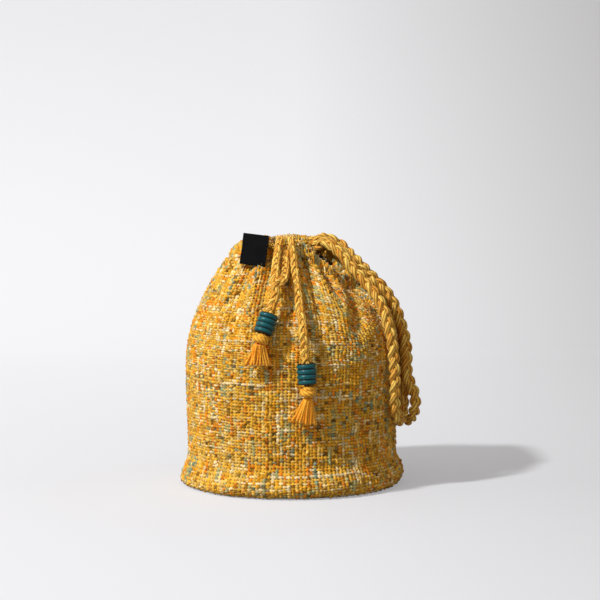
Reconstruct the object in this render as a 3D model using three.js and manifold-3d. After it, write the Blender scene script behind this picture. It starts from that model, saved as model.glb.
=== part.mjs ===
// Drawstring potli bag of handloom tweed: a soft pouch on a flat oval base, gathered at the mouth
// by a plaited drawstring with a bead and a tassel on each end, and carried by two plaited loops.
// Millimetres, +Z up, the front faces -Y. The origin is the middle of the base, on the ground.
import * as THREE from "three";
import { ParametricGeometry } from "three/addons/geometries/ParametricGeometry.js";
import { mergeVertices } from "three/addons/utils/BufferGeometryUtils.js";
import Module from "manifold-3d";

const wasm = await Module();
wasm.setup();

// Body of the bag
const BASE_WIDTH = 190; // across the foot at its widest line, left to right
const BASE_DEPTH = 160; // the same line, front to back
const FOOT_INSET = 10; // base seam, in from the widest line
const FLARE_HEIGHT = 8; // widest line above the ground
const FLARE_TILT = 4; // how much higher that line lies on the right, and lower on the left
const WAIST_HEIGHT = 28;
const WAIST_INSET = 6.5;
const BELLY_HEIGHT = 105; // where the side starts to lean in
const BELLY_INSET = 5;
const SHOULDER_HEIGHT = 145; // where the side, if it ran on upright, would turn to the mouth

// Cloth
const CLOTH_THICKNESS = 2;
const LINING_THICKNESS = 1;
const CLEARANCE = 0.3; // between layers that touch
const SEAM_GAP = 0.4; // between the front and back panels at the side seams

// Gathers below the mouth and the one long fold to the right of the front
const GATHER_COUNT = 18;
const GATHER_DEPTH = 5;
const GATHER_SWAY = 0.8; // radians by which the gathers crowd together and draw apart
const GATHER_SWAYS = 3; // times they do so on the way round
const GATHER_UNEVEN = 0.35; // how much deeper the deepest gathers are than the mean, as a share
const HEM_GATHER_DEPTH = 1.8;
const FOLD_PLACE = 0.105; // share of the way round from the front, counterclockwise from above
const FOLD_WIDTH = 0.022; // the same share
const FOLD_DEPTH = 3.5;

// Fuller cloth of the shoulder on the right, below the loops
const FULL_PLACE = 0.21; // share of the way round from the front
const FULL_WIDTH = 0.06; // the same share
const FULL_DEPTH = 8;

// Drawstring and carrying loops
const CORD_DIAMETER = 7;
const LOOP_DIAMETER = 9;
const CORD_SIDES = 8;

// Hem: the tunnel round the mouth that the drawstring runs in
const MOUTH_HEIGHT = 197; // middle of the hem above the ground, on average
const HEM_HEIGHT = 20;
const HEM_WALL = 1.7;
const HEM_LEAN = 24; // degrees in from upright
const SLIT_WIDTH = 18; // opening at the front that the drawstring's ends leave by
const SLIT_DEPTH = 10.5; // below the middle of the tunnel

// Beads, knots, tassels and label
const BEAD_DIAMETER = 16;
const BEAD_LENGTH = 17;
const BEAD_RIBS = 4;
const BEAD_GROOVE = 1.4;
const BORE_CLEARANCE = 0.45;
const KNOT_DIAMETER = 12.5;
const KNOT_LENGTH = 9;
const TASSEL_NECK = 8;
const TASSEL_WIDTH = 21;
const TASSEL_THICKNESS = 11;
const TASSEL_STRANDS = 9;
const TASSEL_FLUTE = 0.1; // depth of the hollow between two strands, as a share of the radius
const TASSEL_OUTLINE = [[0, 0], [0.35, 0.35], [0.75, 0.7], [1, 1]]; // shares of the spread and the length
const LABEL_WIDTH = 23;
const LABEL_HEIGHT = 25;
const LABEL_THICKNESS = 1.2;
const LABEL_PLACE = 0.901; // share of the way round from the front
const LABEL_DROP = 10.5; // its middle below the top of the hem
const LABEL_TURN = -5.5; // degrees, about its own face
const LABEL_LEAN = 6; // degrees in from upright

// Fineness of the facets
const STEPS_AROUND = 72;
const SHOULDER_STEPS = 5;
const TUNNEL_STEPS = 64;
const TUNNEL_STATIONS = 24;
const TUNNEL_OVERRUN = 0.01; // share of the way round that the tunnel runs on into the slit
const SLIT_SEARCH = 0.0005; // step of the search for the slit's edges, as the same share
const BEAD_SIDES = 20;
const KNOT_SIDES = 12;
const FOOT_ROW = 1; // height of the first row of facets, where the foot turns up most steeply
const HEM_FOOT_TURN = -65; // degrees round the hem's section, from facing out towards up
const HEM_TURNS = [-40, -10, 25, 60, 90, 120, 160, 200, 235];
const LINING_TURNS = [235, 200, 160, 120, 100];

// Middle of the hem, an eighth of the way round at a time from the front, with its rise above the
// mouth's height: it stands high at the front and back and sinks to the right, below the loops.
const HEM_COURSE = [
  [-5, -32, 10],
  [27, -25, -15],
  [48, 0, -22],
  [30, 25, -1],
  [0, 33, 4],
  [-32, 25, 2],
  [-46.5, 0, -2],
  [-31, -27, 2],
];

// Routes of the cords, from where each leaves the hem. The last four points of the
// drawstring's left and right ends lie in line, for the stretch that a bead slides on.
const LEFT_END_ROUTE = [
  [-9.5, -30.5, 208.5],
  [-9.8, -36.5, 209.4],
  [-10.6, -43, 206.4],
  [-12, -49.5, 197.2],
  [-12.9, -58.8, 187.8],
  [-13.1, -67, 177.8],
  [-12.79, -70.01, 165.85],
  [-14.38, -71.26, 161.28],
  [-18.5, -74.51, 149.38],
  [-23.12, -78.15, 136.02],
];
const RIGHT_END_ROUTE = [
  [-1, -30.5, 209],
  [-0.8, -36.5, 209.9],
  [-0.2, -43, 206.6],
  [1.5, -48.2, 196],
  [2.7, -53.4, 183.8],
  [4.8, -60.7, 169.7],
  [7.2, -71.3, 153],
  [9.91, -80.9, 134.93],
  [10.38, -81.28, 128.46],
  [11.63, -82.27, 111.53],
  [12.8, -83.2, 95.6],
];
const SHORT_END_ROUTE = [
  [-5.2, -32, 202],
  [-5.2, -37, 202],
  [-5.2, -42.2, 199.2],
  [-5.3, -47.2, 192.6],
  [-5.4, -53.6, 185.9],
  [-5.4, -61.5, 180.8],
  [-5.4, -70.4, 177.2],
];
const INNER_LOOP_ROUTE = [
  [12.4, 16.5, 198.5],
  [20, 8.6, 202.5],
  [28, 1.8, 205],
  [36, -4.8, 201.2],
  [43.5, -10.6, 193.6],
  [51, -15.8, 184.6],
  [58.8, -20, 176],
  [67.4, -26, 166.4],
  [74.6, -32.4, 154.4],
  [79.4, -38, 140.4],
  [82.6, -41.6, 126.4],
  [84.2, -42, 113],
  [85.3, -43.3, 99],
  [85.3, -43.3, 86],
  [85.4, -41.6, 74],
  [87.6, -35.5, 62],
  [91.4, -21, 56.4],
  [94.4, -6.8, 62],
  [95.3, -1.4, 74],
  [95.4, 0.2, 86],
  [95.4, 1.4, 100],
  [94.9, 2.6, 109.7],
  [94.6, 4.6, 123.3],
  [91.8, 6.4, 137.4],
  [87.4, 8.6, 150.8],
  [81, 10.8, 161.8],
  [73.4, 13, 170.6],
  [65.4, 15.4, 178.4],
  [57.4, 18.4, 186.6],
  [50, 22.4, 193.8],
  [43.4, 27, 200.8],
  [34, 28, 208.2],
  [24.5, 26, 212.5],
];
const OUTER_LOOP_ROUTE = [
  [6, 19.4, 208.5],
  [17, 18, 211.3],
  [27, 12.8, 209.5],
  [36.5, 7.5, 202],
  [44.5, 1, 193.2],
  [53.5, -3.5, 186],
  [61.8, -4.6, 180],
  [69, -5.8, 174.6],
  [75.7, -7, 168.8],
  [83.2, -8.3, 158.7],
  [88.3, -9.3, 148.6],
  [93.1, -10.5, 134.3],
  [96.2, -11.5, 121.6],
  [97.2, -12, 110.6],
  [97.2, -12.3, 100.4],
  [98.3, -12.3, 91.9],
  [101.7, -12, 83.3],
  [104.4, -11, 74.6],
  [104.5, -8.5, 64.8],
  [102.2, -1.5, 55.9],
  [98.9, 8, 51.7],
  [96.2, 17.5, 54.9],
  [95.7, 23, 64.2],
  [95.7, 24.2, 76.3],
  [95.6, 24.3, 89.5],
  [95.5, 24.3, 102.6],
  [94.2, 24.3, 116.6],
  [91.1, 24.5, 129.7],
  [86.7, 25, 141.9],
  [80.2, 26.2, 153.5],
  [72.9, 28.2, 162.5],
  [65.1, 30.8, 170.2],
  [56.9, 34, 178.2],
  [48.7, 37.5, 185.9],
  [40.5, 40.5, 192.7],
  [31.3, 42, 197.4],
];

// Where the foot of each tassel lies on the front of the bag.
const LEFT_TASSEL_FOOT = [-26.4, -79.2, 110];
const RIGHT_TASSEL_FOOT = [10, -79.6, 63.1];

const TWEED = new THREE.MeshStandardMaterial({ color: 0xc79237, roughness: 0.95, metalness: 0 });
const LINING_COTTON = new THREE.MeshStandardMaterial({ color: 0x3a4044, roughness: 0.9, metalness: 0 });
const CORD_COTTON = new THREE.MeshStandardMaterial({ color: 0xd9a036, roughness: 0.9, metalness: 0 });
const TASSEL_COTTON = new THREE.MeshStandardMaterial({ color: 0xe8a020, roughness: 0.85, metalness: 0 });
const BEAD_WOOD = new THREE.MeshStandardMaterial({ color: 0x1a6b75, roughness: 0.3, metalness: 0 });
const LABEL_SATIN = new THREE.MeshStandardMaterial({ color: 0x141416, roughness: 0.6, metalness: 0 });

const hemThickness = CORD_DIAMETER + 2 * (CLEARANCE + HEM_WALL);
const baseTop = CLOTH_THICKNESS;
const liningSeat = baseTop + CLEARANCE;
const liningTop = liningSeat + LINING_THICKNESS;
const liningWallFoot = liningTop + CLEARANCE;
const levels = [0, FOOT_ROW, liningWallFoot, FLARE_HEIGHT, (FLARE_HEIGHT + WAIST_HEIGHT) / 2, WAIST_HEIGHT,
  (WAIST_HEIGHT + BELLY_HEIGHT) / 2, BELLY_HEIGHT];
const toVectors = (points) => points.map((point) => new THREE.Vector3(...point));
const hemPoints = HEM_COURSE.map(([x, y, rise]) => new THREE.Vector3(x, y, MOUTH_HEIGHT + rise));
const hemLine = new THREE.CatmullRomCurve3(hemPoints, true);
const ease = (t) => t * t * (3 - 2 * t);
const degrees = THREE.MathUtils.degToRad;

// Solids for joining and cutting
function solidOf(geometry) {
  const bare = geometry.index ? geometry.clone() : mergeVertices(geometry);
  bare.deleteAttribute("normal");
  bare.deleteAttribute("uv");
  const merged = mergeVertices(bare, 1e-3);
  return new wasm.Manifold(new wasm.Mesh({
    numProp: 3,
    vertProperties: new Float32Array(merged.attributes.position.array),
    triVerts: new Uint32Array(merged.index.array),
  }));
}

function geometryOf(solid) {
  const { vertProperties, triVerts } = solid.getMesh();
  const geometry = new THREE.BufferGeometry();
  geometry.setAttribute("position", new THREE.BufferAttribute(vertProperties, 3));
  geometry.setIndex(new THREE.BufferAttribute(triVerts, 1));
  geometry.computeVertexNormals();
  return geometry;
}

// Form of the cloth
function gatherAt(u) {
  const turn = 2 * Math.PI * u;
  const sway = GATHER_SWAY * Math.sin(GATHER_SWAYS * turn);
  const wave = Math.cos(GATHER_COUNT * turn + sway + Math.PI);
  return wave * (1 + GATHER_UNEVEN * Math.sin(2 * turn + 1));
}

// Share of a local swell left at a place, most at its middle.
function swellAt(u, middle, width) {
  const away = (u - middle) / width;
  return Math.exp(-away * away);
}

// How far the body lies inside the widest line of the foot, at a height.
function bodyInset(height, flareHeight) {
  if (height < flareHeight) {
    const drop = 1 - height / flareHeight;
    return FOOT_INSET * (1 - Math.sqrt(1 - drop * drop));
  }
  if (height < WAIST_HEIGHT) {
    return WAIST_INSET * ease((height - flareHeight) / (WAIST_HEIGHT - flareHeight));
  }
  const rise = (height - WAIST_HEIGHT) / (BELLY_HEIGHT - WAIST_HEIGHT);
  return THREE.MathUtils.lerp(WAIST_INSET, BELLY_INSET, ease(rise));
}

function bodyPoint(u, height) {
  const angle = 2 * Math.PI * u - Math.PI / 2;
  const rim = new THREE.Vector3(BASE_WIDTH / 2 * Math.cos(angle), BASE_DEPTH / 2 * Math.sin(angle), 0);
  const inset = bodyInset(height, FLARE_HEIGHT + FLARE_TILT * Math.cos(angle));
  return rim.setLength(rim.length() - inset).setZ(height);
}

// A point of the hem's section: turn 0 faces out, 90 up and 180 into the mouth.
function hemPoint(u, turn, grow = 0) {
  const along = hemLine.getTangent(u % 1);
  const level = new THREE.Vector3(along.y, -along.x, 0).normalize();
  const lean = degrees(HEM_LEAN);
  const out = level.clone().multiplyScalar(Math.cos(lean)).setZ(Math.sin(lean));
  const up = level.clone().multiplyScalar(-Math.sin(lean)).setZ(Math.cos(lean));
  const halfThickness = hemThickness / 2 + grow + HEM_GATHER_DEPTH * (1 + gatherAt(u)) / 2;
  const halfHeight = HEM_HEIGHT / 2 + grow;
  return hemLine.getPoint(u % 1)
    .addScaledVector(out, halfThickness * Math.cos(degrees(turn)))
    .addScaledVector(up, halfHeight * Math.sin(degrees(turn)));
}

function movedIn(point, distance) {
  const level = Math.hypot(point.x, point.y);
  const share = 1 - distance / level;
  return new THREE.Vector3(point.x * share, point.y * share, point.z);
}

// The shoulder between belly and hem, with its gathers, at step 1 to SHOULDER_STEPS.
function shoulderPoint(u, step) {
  const t = step / SHOULDER_STEPS;
  const curve = new THREE.QuadraticBezierCurve3(
    bodyPoint(u, BELLY_HEIGHT),
    bodyPoint(u, BELLY_HEIGHT).setZ(SHOULDER_HEIGHT),
    hemPoint(u, HEM_FOOT_TURN),
  );
  const gather = GATHER_DEPTH * gatherAt(u) * t * t * (1 - t / 2);
  const fold = FOLD_DEPTH * swellAt(u, FOLD_PLACE, FOLD_WIDTH) * 4 * t * (1 - t);
  const full = FULL_DEPTH * swellAt(u, FULL_PLACE, FULL_WIDTH) * 6.75 * t * t * (1 - t);
  return movedIn(curve.getPoint(t), -gather - fold - full);
}

const clothTopRow = wallPoints(0, 0, 0).length + HEM_TURNS.indexOf(90) + 1;
const liningTopRow = wallPoints(0, 0, liningWallFoot).length + LINING_TURNS.length - 1;

function wallPoints(u, inset, lowest) {
  const lower = levels.filter((height) => height >= lowest).map((height) => bodyPoint(u, height));
  const shoulder = Array.from({ length: SHOULDER_STEPS - 1 }, (_, k) => shoulderPoint(u, k + 1));
  return [...lower, ...shoulder].map((point) => movedIn(point, inset));
}

function clothSection(u) {
  const hem = HEM_TURNS.map((turn) => hemPoint(u, turn));
  return [...wallPoints(u, 0, 0), hemPoint(u, HEM_FOOT_TURN), ...hem,
    ...wallPoints(u, CLOTH_THICKNESS, 0).reverse()];
}

function liningSection(u) {
  const outerInset = CLOTH_THICKNESS + CLEARANCE;
  const hemSide = (grow) => LINING_TURNS.map((turn) => hemPoint(u, turn, grow));
  return [...wallPoints(u, outerInset, liningWallFoot), ...hemSide(CLEARANCE),
    ...hemSide(CLEARANCE + LINING_THICKNESS).reverse(),
    ...wallPoints(u, outerInset + LINING_THICKNESS, liningWallFoot).reverse()];
}

// A closed ring with the section that sectionAt gives a share u of the way round. Rows from topRow
// on come down the inside, where the facets split along the same diagonals as outside.
function ringOf(sectionAt, topRow) {
  const rows = Array.from({ length: STEPS_AROUND }, (_, k) => sectionAt(k / STEPS_AROUND));
  const count = rows[0].length;
  const pick = (u, v, target) => {
    const row = rows[Math.round(u * STEPS_AROUND) % STEPS_AROUND];
    target.copy(row[Math.round(v * count) % count]);
  };
  const ring = new ParametricGeometry(pick, STEPS_AROUND, count);
  const corners = ring.index.array;
  for (let k = 6 * topRow * STEPS_AROUND; k < corners.length; k += 6) {
    const [a, b, d, , c] = corners.subarray(k, k + 6);
    corners.set([a, b, c, a, c, d], k);
  }
  return ring;
}

function tubeAlong(curve, diameter, steps) {
  const corners = Array.from({ length: CORD_SIDES }, (_, k) => {
    const turn = 2 * Math.PI * k / CORD_SIDES;
    return new THREE.Vector2(Math.cos(turn), Math.sin(turn)).multiplyScalar(diameter / 2);
  });
  return new THREE.ExtrudeGeometry(new THREE.Shape(corners), { extrudePath: curve, steps });
}

// Shares of the way round at which the tunnel opens into the slit, right and left of the front.
function slitShare(side) {
  const edge = hemPoints[0].x + side * SLIT_WIDTH / 2;
  let share = 0;
  while (side * (hemLine.getPoint((share + 1) % 1).x - edge) < 0) share += side * SLIT_SEARCH;
  return (share + 1) % 1;
}

const tunnelStart = slitShare(1);
const tunnelEnd = slitShare(-1);

function tunnelLine(extra) {
  const points = Array.from({ length: TUNNEL_STATIONS + 1 }, (_, k) => {
    const share = THREE.MathUtils.lerp(tunnelStart - extra, tunnelEnd + extra, k / TUNNEL_STATIONS);
    return hemLine.getPoint((share + 1) % 1);
  });
  return new THREE.CatmullRomCurve3(points);
}

function cutPanels() {
  const slit = new THREE.BoxGeometry(SLIT_WIDTH, 2 * hemThickness, 2 * HEM_HEIGHT);
  slit.translate(hemPoints[0].x, hemPoints[0].y, hemPoints[0].z - SLIT_DEPTH + HEM_HEIGHT);
  const tunnel = tubeAlong(tunnelLine(TUNNEL_OVERRUN), CORD_DIAMETER + 2 * CLEARANCE, TUNNEL_STEPS);
  const ring = solidOf(ringOf(clothSection, clothTopRow));
  const shell = ring.subtract(solidOf(slit)).subtract(solidOf(tunnel));
  const half = new THREE.BoxGeometry(2 * BASE_WIDTH, BASE_DEPTH, 4 * SHOULDER_HEIGHT);
  const offset = (BASE_DEPTH + SEAM_GAP) / 2;
  const front = shell.intersect(solidOf(half.clone().translate(0, -offset, 0)));
  const back = shell.intersect(solidOf(half.clone().translate(0, offset, 0)));
  return [geometryOf(front), geometryOf(back)];
}

// A flat oval of cloth that fits inside the wall at a given inset from the widest line.
function ovalOf(inset, seat, thickness) {
  const shape = new THREE.Shape();
  shape.absellipse(0, 0, BASE_WIDTH / 2 - inset, BASE_DEPTH / 2 - inset, 0, 2 * Math.PI);
  const geometry = new THREE.ExtrudeGeometry(shape, {
    depth: thickness, bevelEnabled: false, curveSegments: STEPS_AROUND / 2,
  });
  return geometry.translate(0, 0, seat);
}

function beadGeometry() {
  const bore = CORD_DIAMETER / 2 + BORE_CLEARANCE;
  const ribLength = BEAD_LENGTH / BEAD_RIBS;
  const valley = BEAD_DIAMETER / 2 - BEAD_GROOVE;
  const profile = [new THREE.Vector2(bore, 0)];
  for (let rib = 0; rib < BEAD_RIBS; rib += 1) {
    for (const share of [0, 0.25, 0.5, 0.75]) {
      const rise = BEAD_GROOVE * Math.sin(Math.PI * share);
      profile.push(new THREE.Vector2(valley + rise, (rib + share) * ribLength));
    }
  }
  profile.push(new THREE.Vector2(valley, BEAD_LENGTH), new THREE.Vector2(bore, BEAD_LENGTH));
  profile.push(profile[0].clone());
  return new THREE.LatheGeometry(profile, BEAD_SIDES).rotateX(Math.PI / 2);
}

function knotGeometry() {
  const outline = [[0, 0], [0.5, 0], [0.95, 0.2], [0.86, 0.5], [1, 0.75], [0.72, 1], [0, 1]];
  const profile = outline.map(([out, up]) => new THREE.Vector2(out * KNOT_DIAMETER / 2, up * KNOT_LENGTH));
  return new THREE.LatheGeometry(profile, KNOT_SIDES).rotateX(Math.PI / 2);
}

// A tassel's skirt, hanging along +Z from its neck, flattened where it lies on the cloth.
function tasselGeometry(length) {
  const skirt = TASSEL_OUTLINE.map(([spread, drop]) => {
    const width = THREE.MathUtils.lerp(TASSEL_NECK, TASSEL_WIDTH, spread);
    return new THREE.Vector2(width / 2, length * drop);
  });
  const profile = [new THREE.Vector2(0, 0), ...skirt, new THREE.Vector2(0, length)];
  const geometry = new THREE.LatheGeometry(profile, 2 * TASSEL_STRANDS).rotateX(Math.PI / 2);
  const position = geometry.attributes.position;
  for (let k = 0; k < position.count; k += 1) {
    const x = position.getX(k);
    const y = position.getY(k);
    const strand = 1 - TASSEL_FLUTE * (1 - Math.cos(TASSEL_STRANDS * Math.atan2(y, x)));
    const drop = Math.abs(position.getZ(k)) / length;
    const flat = THREE.MathUtils.lerp(1, TASSEL_THICKNESS / TASSEL_WIDTH, drop);
    position.setXY(k, x * strand, y * strand * flat);
  }
  return geometry;
}

// Assembly
const bag = new THREE.Group();

function add(name, geometry, material, parent = bag) {
  const mesh = new THREE.Mesh(geometry, material);
  mesh.name = name;
  parent.add(mesh);
  return mesh;
}

// A group at a point whose -Z axis runs along a direction and whose -Y axis faces the front.
function hangingFrame(point, direction) {
  const back = direction.clone().normalize().negate();
  const side = new THREE.Vector3(0, 1, 0).cross(back).normalize();
  const frame = new THREE.Group();
  const axes = new THREE.Matrix4().makeBasis(side, back.clone().cross(side), back);
  frame.quaternion.setFromRotationMatrix(axes);
  frame.position.copy(point);
  bag.add(frame);
  return frame;
}

function addDrawstringEnd(side, route, tasselFoot) {
  const points = toVectors(route);
  const end = points.at(-1);
  const down = end.clone().sub(points.at(-2)).normalize();
  const curve = new THREE.CatmullRomCurve3(points);
  add(`drawstring_${side}_end`, tubeAlong(curve, CORD_DIAMETER, 3 * points.length), CORD_COTTON);
  add(`${side}_bead`, beadGeometry(), BEAD_WOOD, hangingFrame(end, down));
  const knotTop = end.clone().addScaledVector(down, CLEARANCE);
  const knot = knotGeometry().translate(0, 0, -KNOT_LENGTH);
  add(`${side}_knot`, knot, CORD_COTTON, hangingFrame(knotTop, down));
  const knotFoot = knotTop.clone().addScaledVector(down, KNOT_LENGTH);
  const fall = new THREE.Vector3(...tasselFoot).sub(knotFoot);
  const tilt = down.angleTo(fall);
  const neckRadius = TASSEL_NECK / 2 * (1 - TASSEL_FLUTE);
  const drop = (CLEARANCE + neckRadius * Math.sin(tilt)) / Math.cos(tilt);
  const neck = knotFoot.clone().addScaledVector(fall.clone().normalize(), drop);
  const tassel = tasselGeometry(fall.length() - drop).rotateX(Math.PI);
  add(`${side}_tassel`, tassel, TASSEL_COTTON, hangingFrame(neck, fall));
}

const [frontPanel, backPanel] = cutPanels();
add("front_panel", frontPanel, TWEED);
add("back_panel", backPanel, TWEED);
add("base_panel", ovalOf(FOOT_INSET + CLOTH_THICKNESS + CLEARANCE, 0, CLOTH_THICKNESS), TWEED);
add("lining_wall", ringOf(liningSection, liningTopRow), LINING_COTTON);
const footInset = bodyInset(liningSeat, FLARE_HEIGHT + FLARE_TILT);
const liningBaseInset = footInset + CLOTH_THICKNESS + 2 * CLEARANCE;
add("lining_base", ovalOf(liningBaseInset, liningSeat, LINING_THICKNESS), LINING_COTTON);

add("drawstring_run", tubeAlong(tunnelLine(0), CORD_DIAMETER, TUNNEL_STEPS), CORD_COTTON);
addDrawstringEnd("left", LEFT_END_ROUTE, LEFT_TASSEL_FOOT);
addDrawstringEnd("right", RIGHT_END_ROUTE, RIGHT_TASSEL_FOOT);
const shortEnd = new THREE.CatmullRomCurve3(toVectors(SHORT_END_ROUTE));
add("drawstring_short_end", tubeAlong(shortEnd, CORD_DIAMETER, 2 * SHORT_END_ROUTE.length), CORD_COTTON);

const loopRoutes = { inner_carry_loop: INNER_LOOP_ROUTE, outer_carry_loop: OUTER_LOOP_ROUTE };
for (const [name, route] of Object.entries(loopRoutes)) {
  const curve = new THREE.CatmullRomCurve3(toVectors(route));
  add(name, tubeAlong(curve, LOOP_DIAMETER, 2 * route.length), CORD_COTTON);
}

// The label leans on the proudest gather of the hem, or of the shoulder that its foot hangs over.
const labelMiddle = hemLine.getPoint(LABEL_PLACE);
const labelAlong = hemLine.getTangent(LABEL_PLACE).setZ(0).normalize();
const labelUp = new THREE.Vector3(0, 0, 1).applyAxisAngle(labelAlong, degrees(-LABEL_LEAN));
const labelOut = labelAlong.clone().cross(labelUp);
const labelRise = HEM_HEIGHT / 2 - LABEL_DROP;
const labelFoot = labelMiddle.z + labelRise - LABEL_HEIGHT / 2;

function reachTowardsLabel(u) {
  const hemFoot = hemPoint(u, HEM_FOOT_TURN);
  const shoulder = shoulderPoint(u, SHOULDER_STEPS - 1);
  const across = hemFoot.clone().sub(labelMiddle).dot(labelAlong);
  const foot = labelFoot + across * Math.sin(degrees(LABEL_TURN));
  const share = (hemFoot.z - foot) / (hemFoot.z - shoulder.z);
  const low = hemFoot.clone().lerp(shoulder, THREE.MathUtils.clamp(share, 0, 1));
  const points = [low, hemFoot, ...HEM_TURNS.map((turn) => hemPoint(u, turn))];
  const away = points.map((point) => point.sub(labelMiddle));
  const behind = away.filter((offset) => Math.abs(offset.dot(labelAlong)) < LABEL_WIDTH / 2);
  return Math.max(...behind.map((offset) => offset.dot(labelOut)));
}

const reaches = Array.from({ length: STEPS_AROUND }, (_, k) => reachTowardsLabel(k / STEPS_AROUND));
const labelReach = Math.max(...reaches);
const labelFrame = new THREE.Group();
const labelAxes = new THREE.Matrix4().makeBasis(labelAlong, labelUp, labelOut);
labelFrame.quaternion.setFromRotationMatrix(labelAxes);
labelFrame.position.copy(labelMiddle)
  .addScaledVector(labelOut, labelReach + CLEARANCE + LABEL_THICKNESS / 2)
  .addScaledVector(labelUp, labelRise);
bag.add(labelFrame);
const label = new THREE.BoxGeometry(LABEL_WIDTH, LABEL_HEIGHT, LABEL_THICKNESS);
add("label", label.rotateZ(degrees(LABEL_TURN)), LABEL_SATIN, labelFrame);

export default bag;
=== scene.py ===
"""Dresses the potli bag: handloom tweed, plaited cotton cords, lacquered beads and yarn tassels.

The bag stands on the ground at the origin, +Z up, and its front faces -Y. Sizes are written in
millimetres, as a maker measures them, and turned to metres where a mesh is made. The studio round
the bag is written in metres.
"""

import logging
import math
from collections.abc import Callable
from dataclasses import dataclass
from enum import Enum
from functools import partial

import bmesh
import bpy
import numpy as np
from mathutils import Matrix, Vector


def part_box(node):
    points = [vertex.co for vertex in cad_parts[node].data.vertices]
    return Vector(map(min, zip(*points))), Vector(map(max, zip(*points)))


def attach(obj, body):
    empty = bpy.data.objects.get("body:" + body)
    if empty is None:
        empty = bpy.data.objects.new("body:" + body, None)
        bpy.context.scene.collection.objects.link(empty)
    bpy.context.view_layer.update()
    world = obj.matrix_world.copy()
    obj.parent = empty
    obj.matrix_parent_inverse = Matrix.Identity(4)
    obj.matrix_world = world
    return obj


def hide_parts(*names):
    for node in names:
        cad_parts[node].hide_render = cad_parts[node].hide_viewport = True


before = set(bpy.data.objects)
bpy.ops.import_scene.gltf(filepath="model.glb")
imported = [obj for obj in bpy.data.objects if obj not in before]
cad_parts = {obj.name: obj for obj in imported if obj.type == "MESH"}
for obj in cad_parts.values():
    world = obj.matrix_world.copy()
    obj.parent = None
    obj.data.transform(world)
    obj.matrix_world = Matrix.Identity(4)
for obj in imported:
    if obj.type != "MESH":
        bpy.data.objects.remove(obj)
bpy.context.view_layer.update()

LOG = logging.getLogger("potli")
MM = 0.001
TURN = 2 * math.pi
GOLDEN_ANGLE = 2.399963  # radians from one yarn to the next that fill a disc evenly
WELD = 1e-7  # metres within which two mesh points are one
PLY_SWELL = 0.05  # how far plies stand out of a yarn, as a share of its radius
SWELL_SPREAD = 0.6  # usual size of a random swell, as a share of its stated height
FRONT_WAY = (0.0, -1.0, 0.0)


class Slot(Enum):
    """Material slots of the record."""

    TWEED = "tweed"
    LINING = "lining"
    CORD = "cord"
    TASSEL = "tassel"
    BEAD = "bead"
    LABEL = "label"


class Body(Enum):
    """Bodies that pieces move with."""

    BAG = "bag"
    LEFT_BEAD = "left_bead"
    RIGHT_BEAD = "right_bead"


class FarEnd(Enum):
    """What a cord ends in."""

    KNOT = "knot"
    BARE = "bare"
    OBJECT = "object"


class Yarn(Enum):
    """Dyed yarns that the tweed is woven from."""

    STRAW = "#FACC66"
    MUSTARD = "#F5BB3A"
    GOLD = "#EEA722"
    ORANGE = "#F2901A"
    OCHRE = "#BE8424"
    CREAM = "#FFE6AE"
    SAGE = "#B4B27A"
    TEAL = "#8EA488"


WARP_MIX = {
    Yarn.MUSTARD: 0.26, Yarn.GOLD: 0.18, Yarn.STRAW: 0.16, Yarn.ORANGE: 0.17,
    Yarn.OCHRE: 0.05, Yarn.CREAM: 0.08, Yarn.SAGE: 0.09, Yarn.TEAL: 0.03,
}
WEFT_MIX = {
    Yarn.STRAW: 0.31, Yarn.MUSTARD: 0.29, Yarn.CREAM: 0.15,
    Yarn.GOLD: 0.15, Yarn.OCHRE: 0.04, Yarn.SAGE: 0.06,
}


def linear(hex_colour: str) -> tuple[float, float, float, float]:
    """Turns an sRGB hex colour to linear light.

    Args:
        hex_colour: The colour as "#RRGGBB".

    Returns:
        Red, green, blue and an alpha of 1.
    """
    shares = (int(hex_colour[k:k + 2], 16) / 255 for k in (1, 3, 5))
    red, green, blue = (s / 12.92 if s <= 0.04045 else ((s + 0.055) / 1.055) ** 2.4 for s in shares)
    return red, green, blue, 1.0


def dye_table(mix: dict[Yarn, float]) -> tuple[np.ndarray, np.ndarray]:
    """Lists the dyes of a mix.

    Args:
        mix: The yarns and how much there is of each.

    Returns:
        Linear colours, and the share of each.
    """
    return np.array([linear(yarn.value) for yarn in mix]), np.array(list(mix.values())) / sum(mix.values())


def add_node(tree: bpy.types.NodeTree, kind: str, inputs: dict | list | tuple = (),
             **settings) -> bpy.types.NodeOutputs:
    """Adds a shader node, sets its options and fills its sockets.

    Args:
        tree: The node tree.
        kind: The node's type, without the word ShaderNode.
        inputs: Values, or output sockets to link, for the first sockets or for the sockets named.
        **settings: The node's own options.

    Returns:
        The node's output sockets.
    """
    node = tree.nodes.new("ShaderNode" + kind)
    for name, value in settings.items():
        setattr(node, name, value)
    for key, value in inputs.items() if isinstance(inputs, dict) else enumerate(inputs):
        if isinstance(value, bpy.types.NodeSocket):
            tree.links.new(value, node.inputs[key])
        else:
            node.inputs[key].default_value = value
    return node.outputs


def fresh_nodes(owner: bpy.types.Material | bpy.types.World) -> Callable:
    """Empties the node tree of a material or a world.

    Args:
        owner: The material or world.

    Returns:
        The function that adds a node to that tree.
    """
    owner.use_nodes = True
    owner.node_tree.nodes.clear()
    return partial(add_node, owner.node_tree)


def seen_rays(add: Callable) -> bpy.types.NodeSocket:
    """Tells rays that show a surface, straight, mirrored or through glass, from those that light others.

    Args:
        add: The function that adds a node.

    Returns:
        A socket that is 1 for a ray that shows the surface.
    """
    path = add("LightPath")
    seen = path["Is Camera Ray"]
    for kind in ("Is Glossy Ray", "Is Transmission Ray"):
        seen = add("Math", (seen, path[kind]), operation="MAXIMUM")[0]
    return seen


def unit(vectors: np.ndarray) -> np.ndarray:
    """Scales vectors to length 1."""
    return vectors / np.maximum(np.linalg.norm(vectors, axis=-1, keepdims=True), 1e-9)


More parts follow.
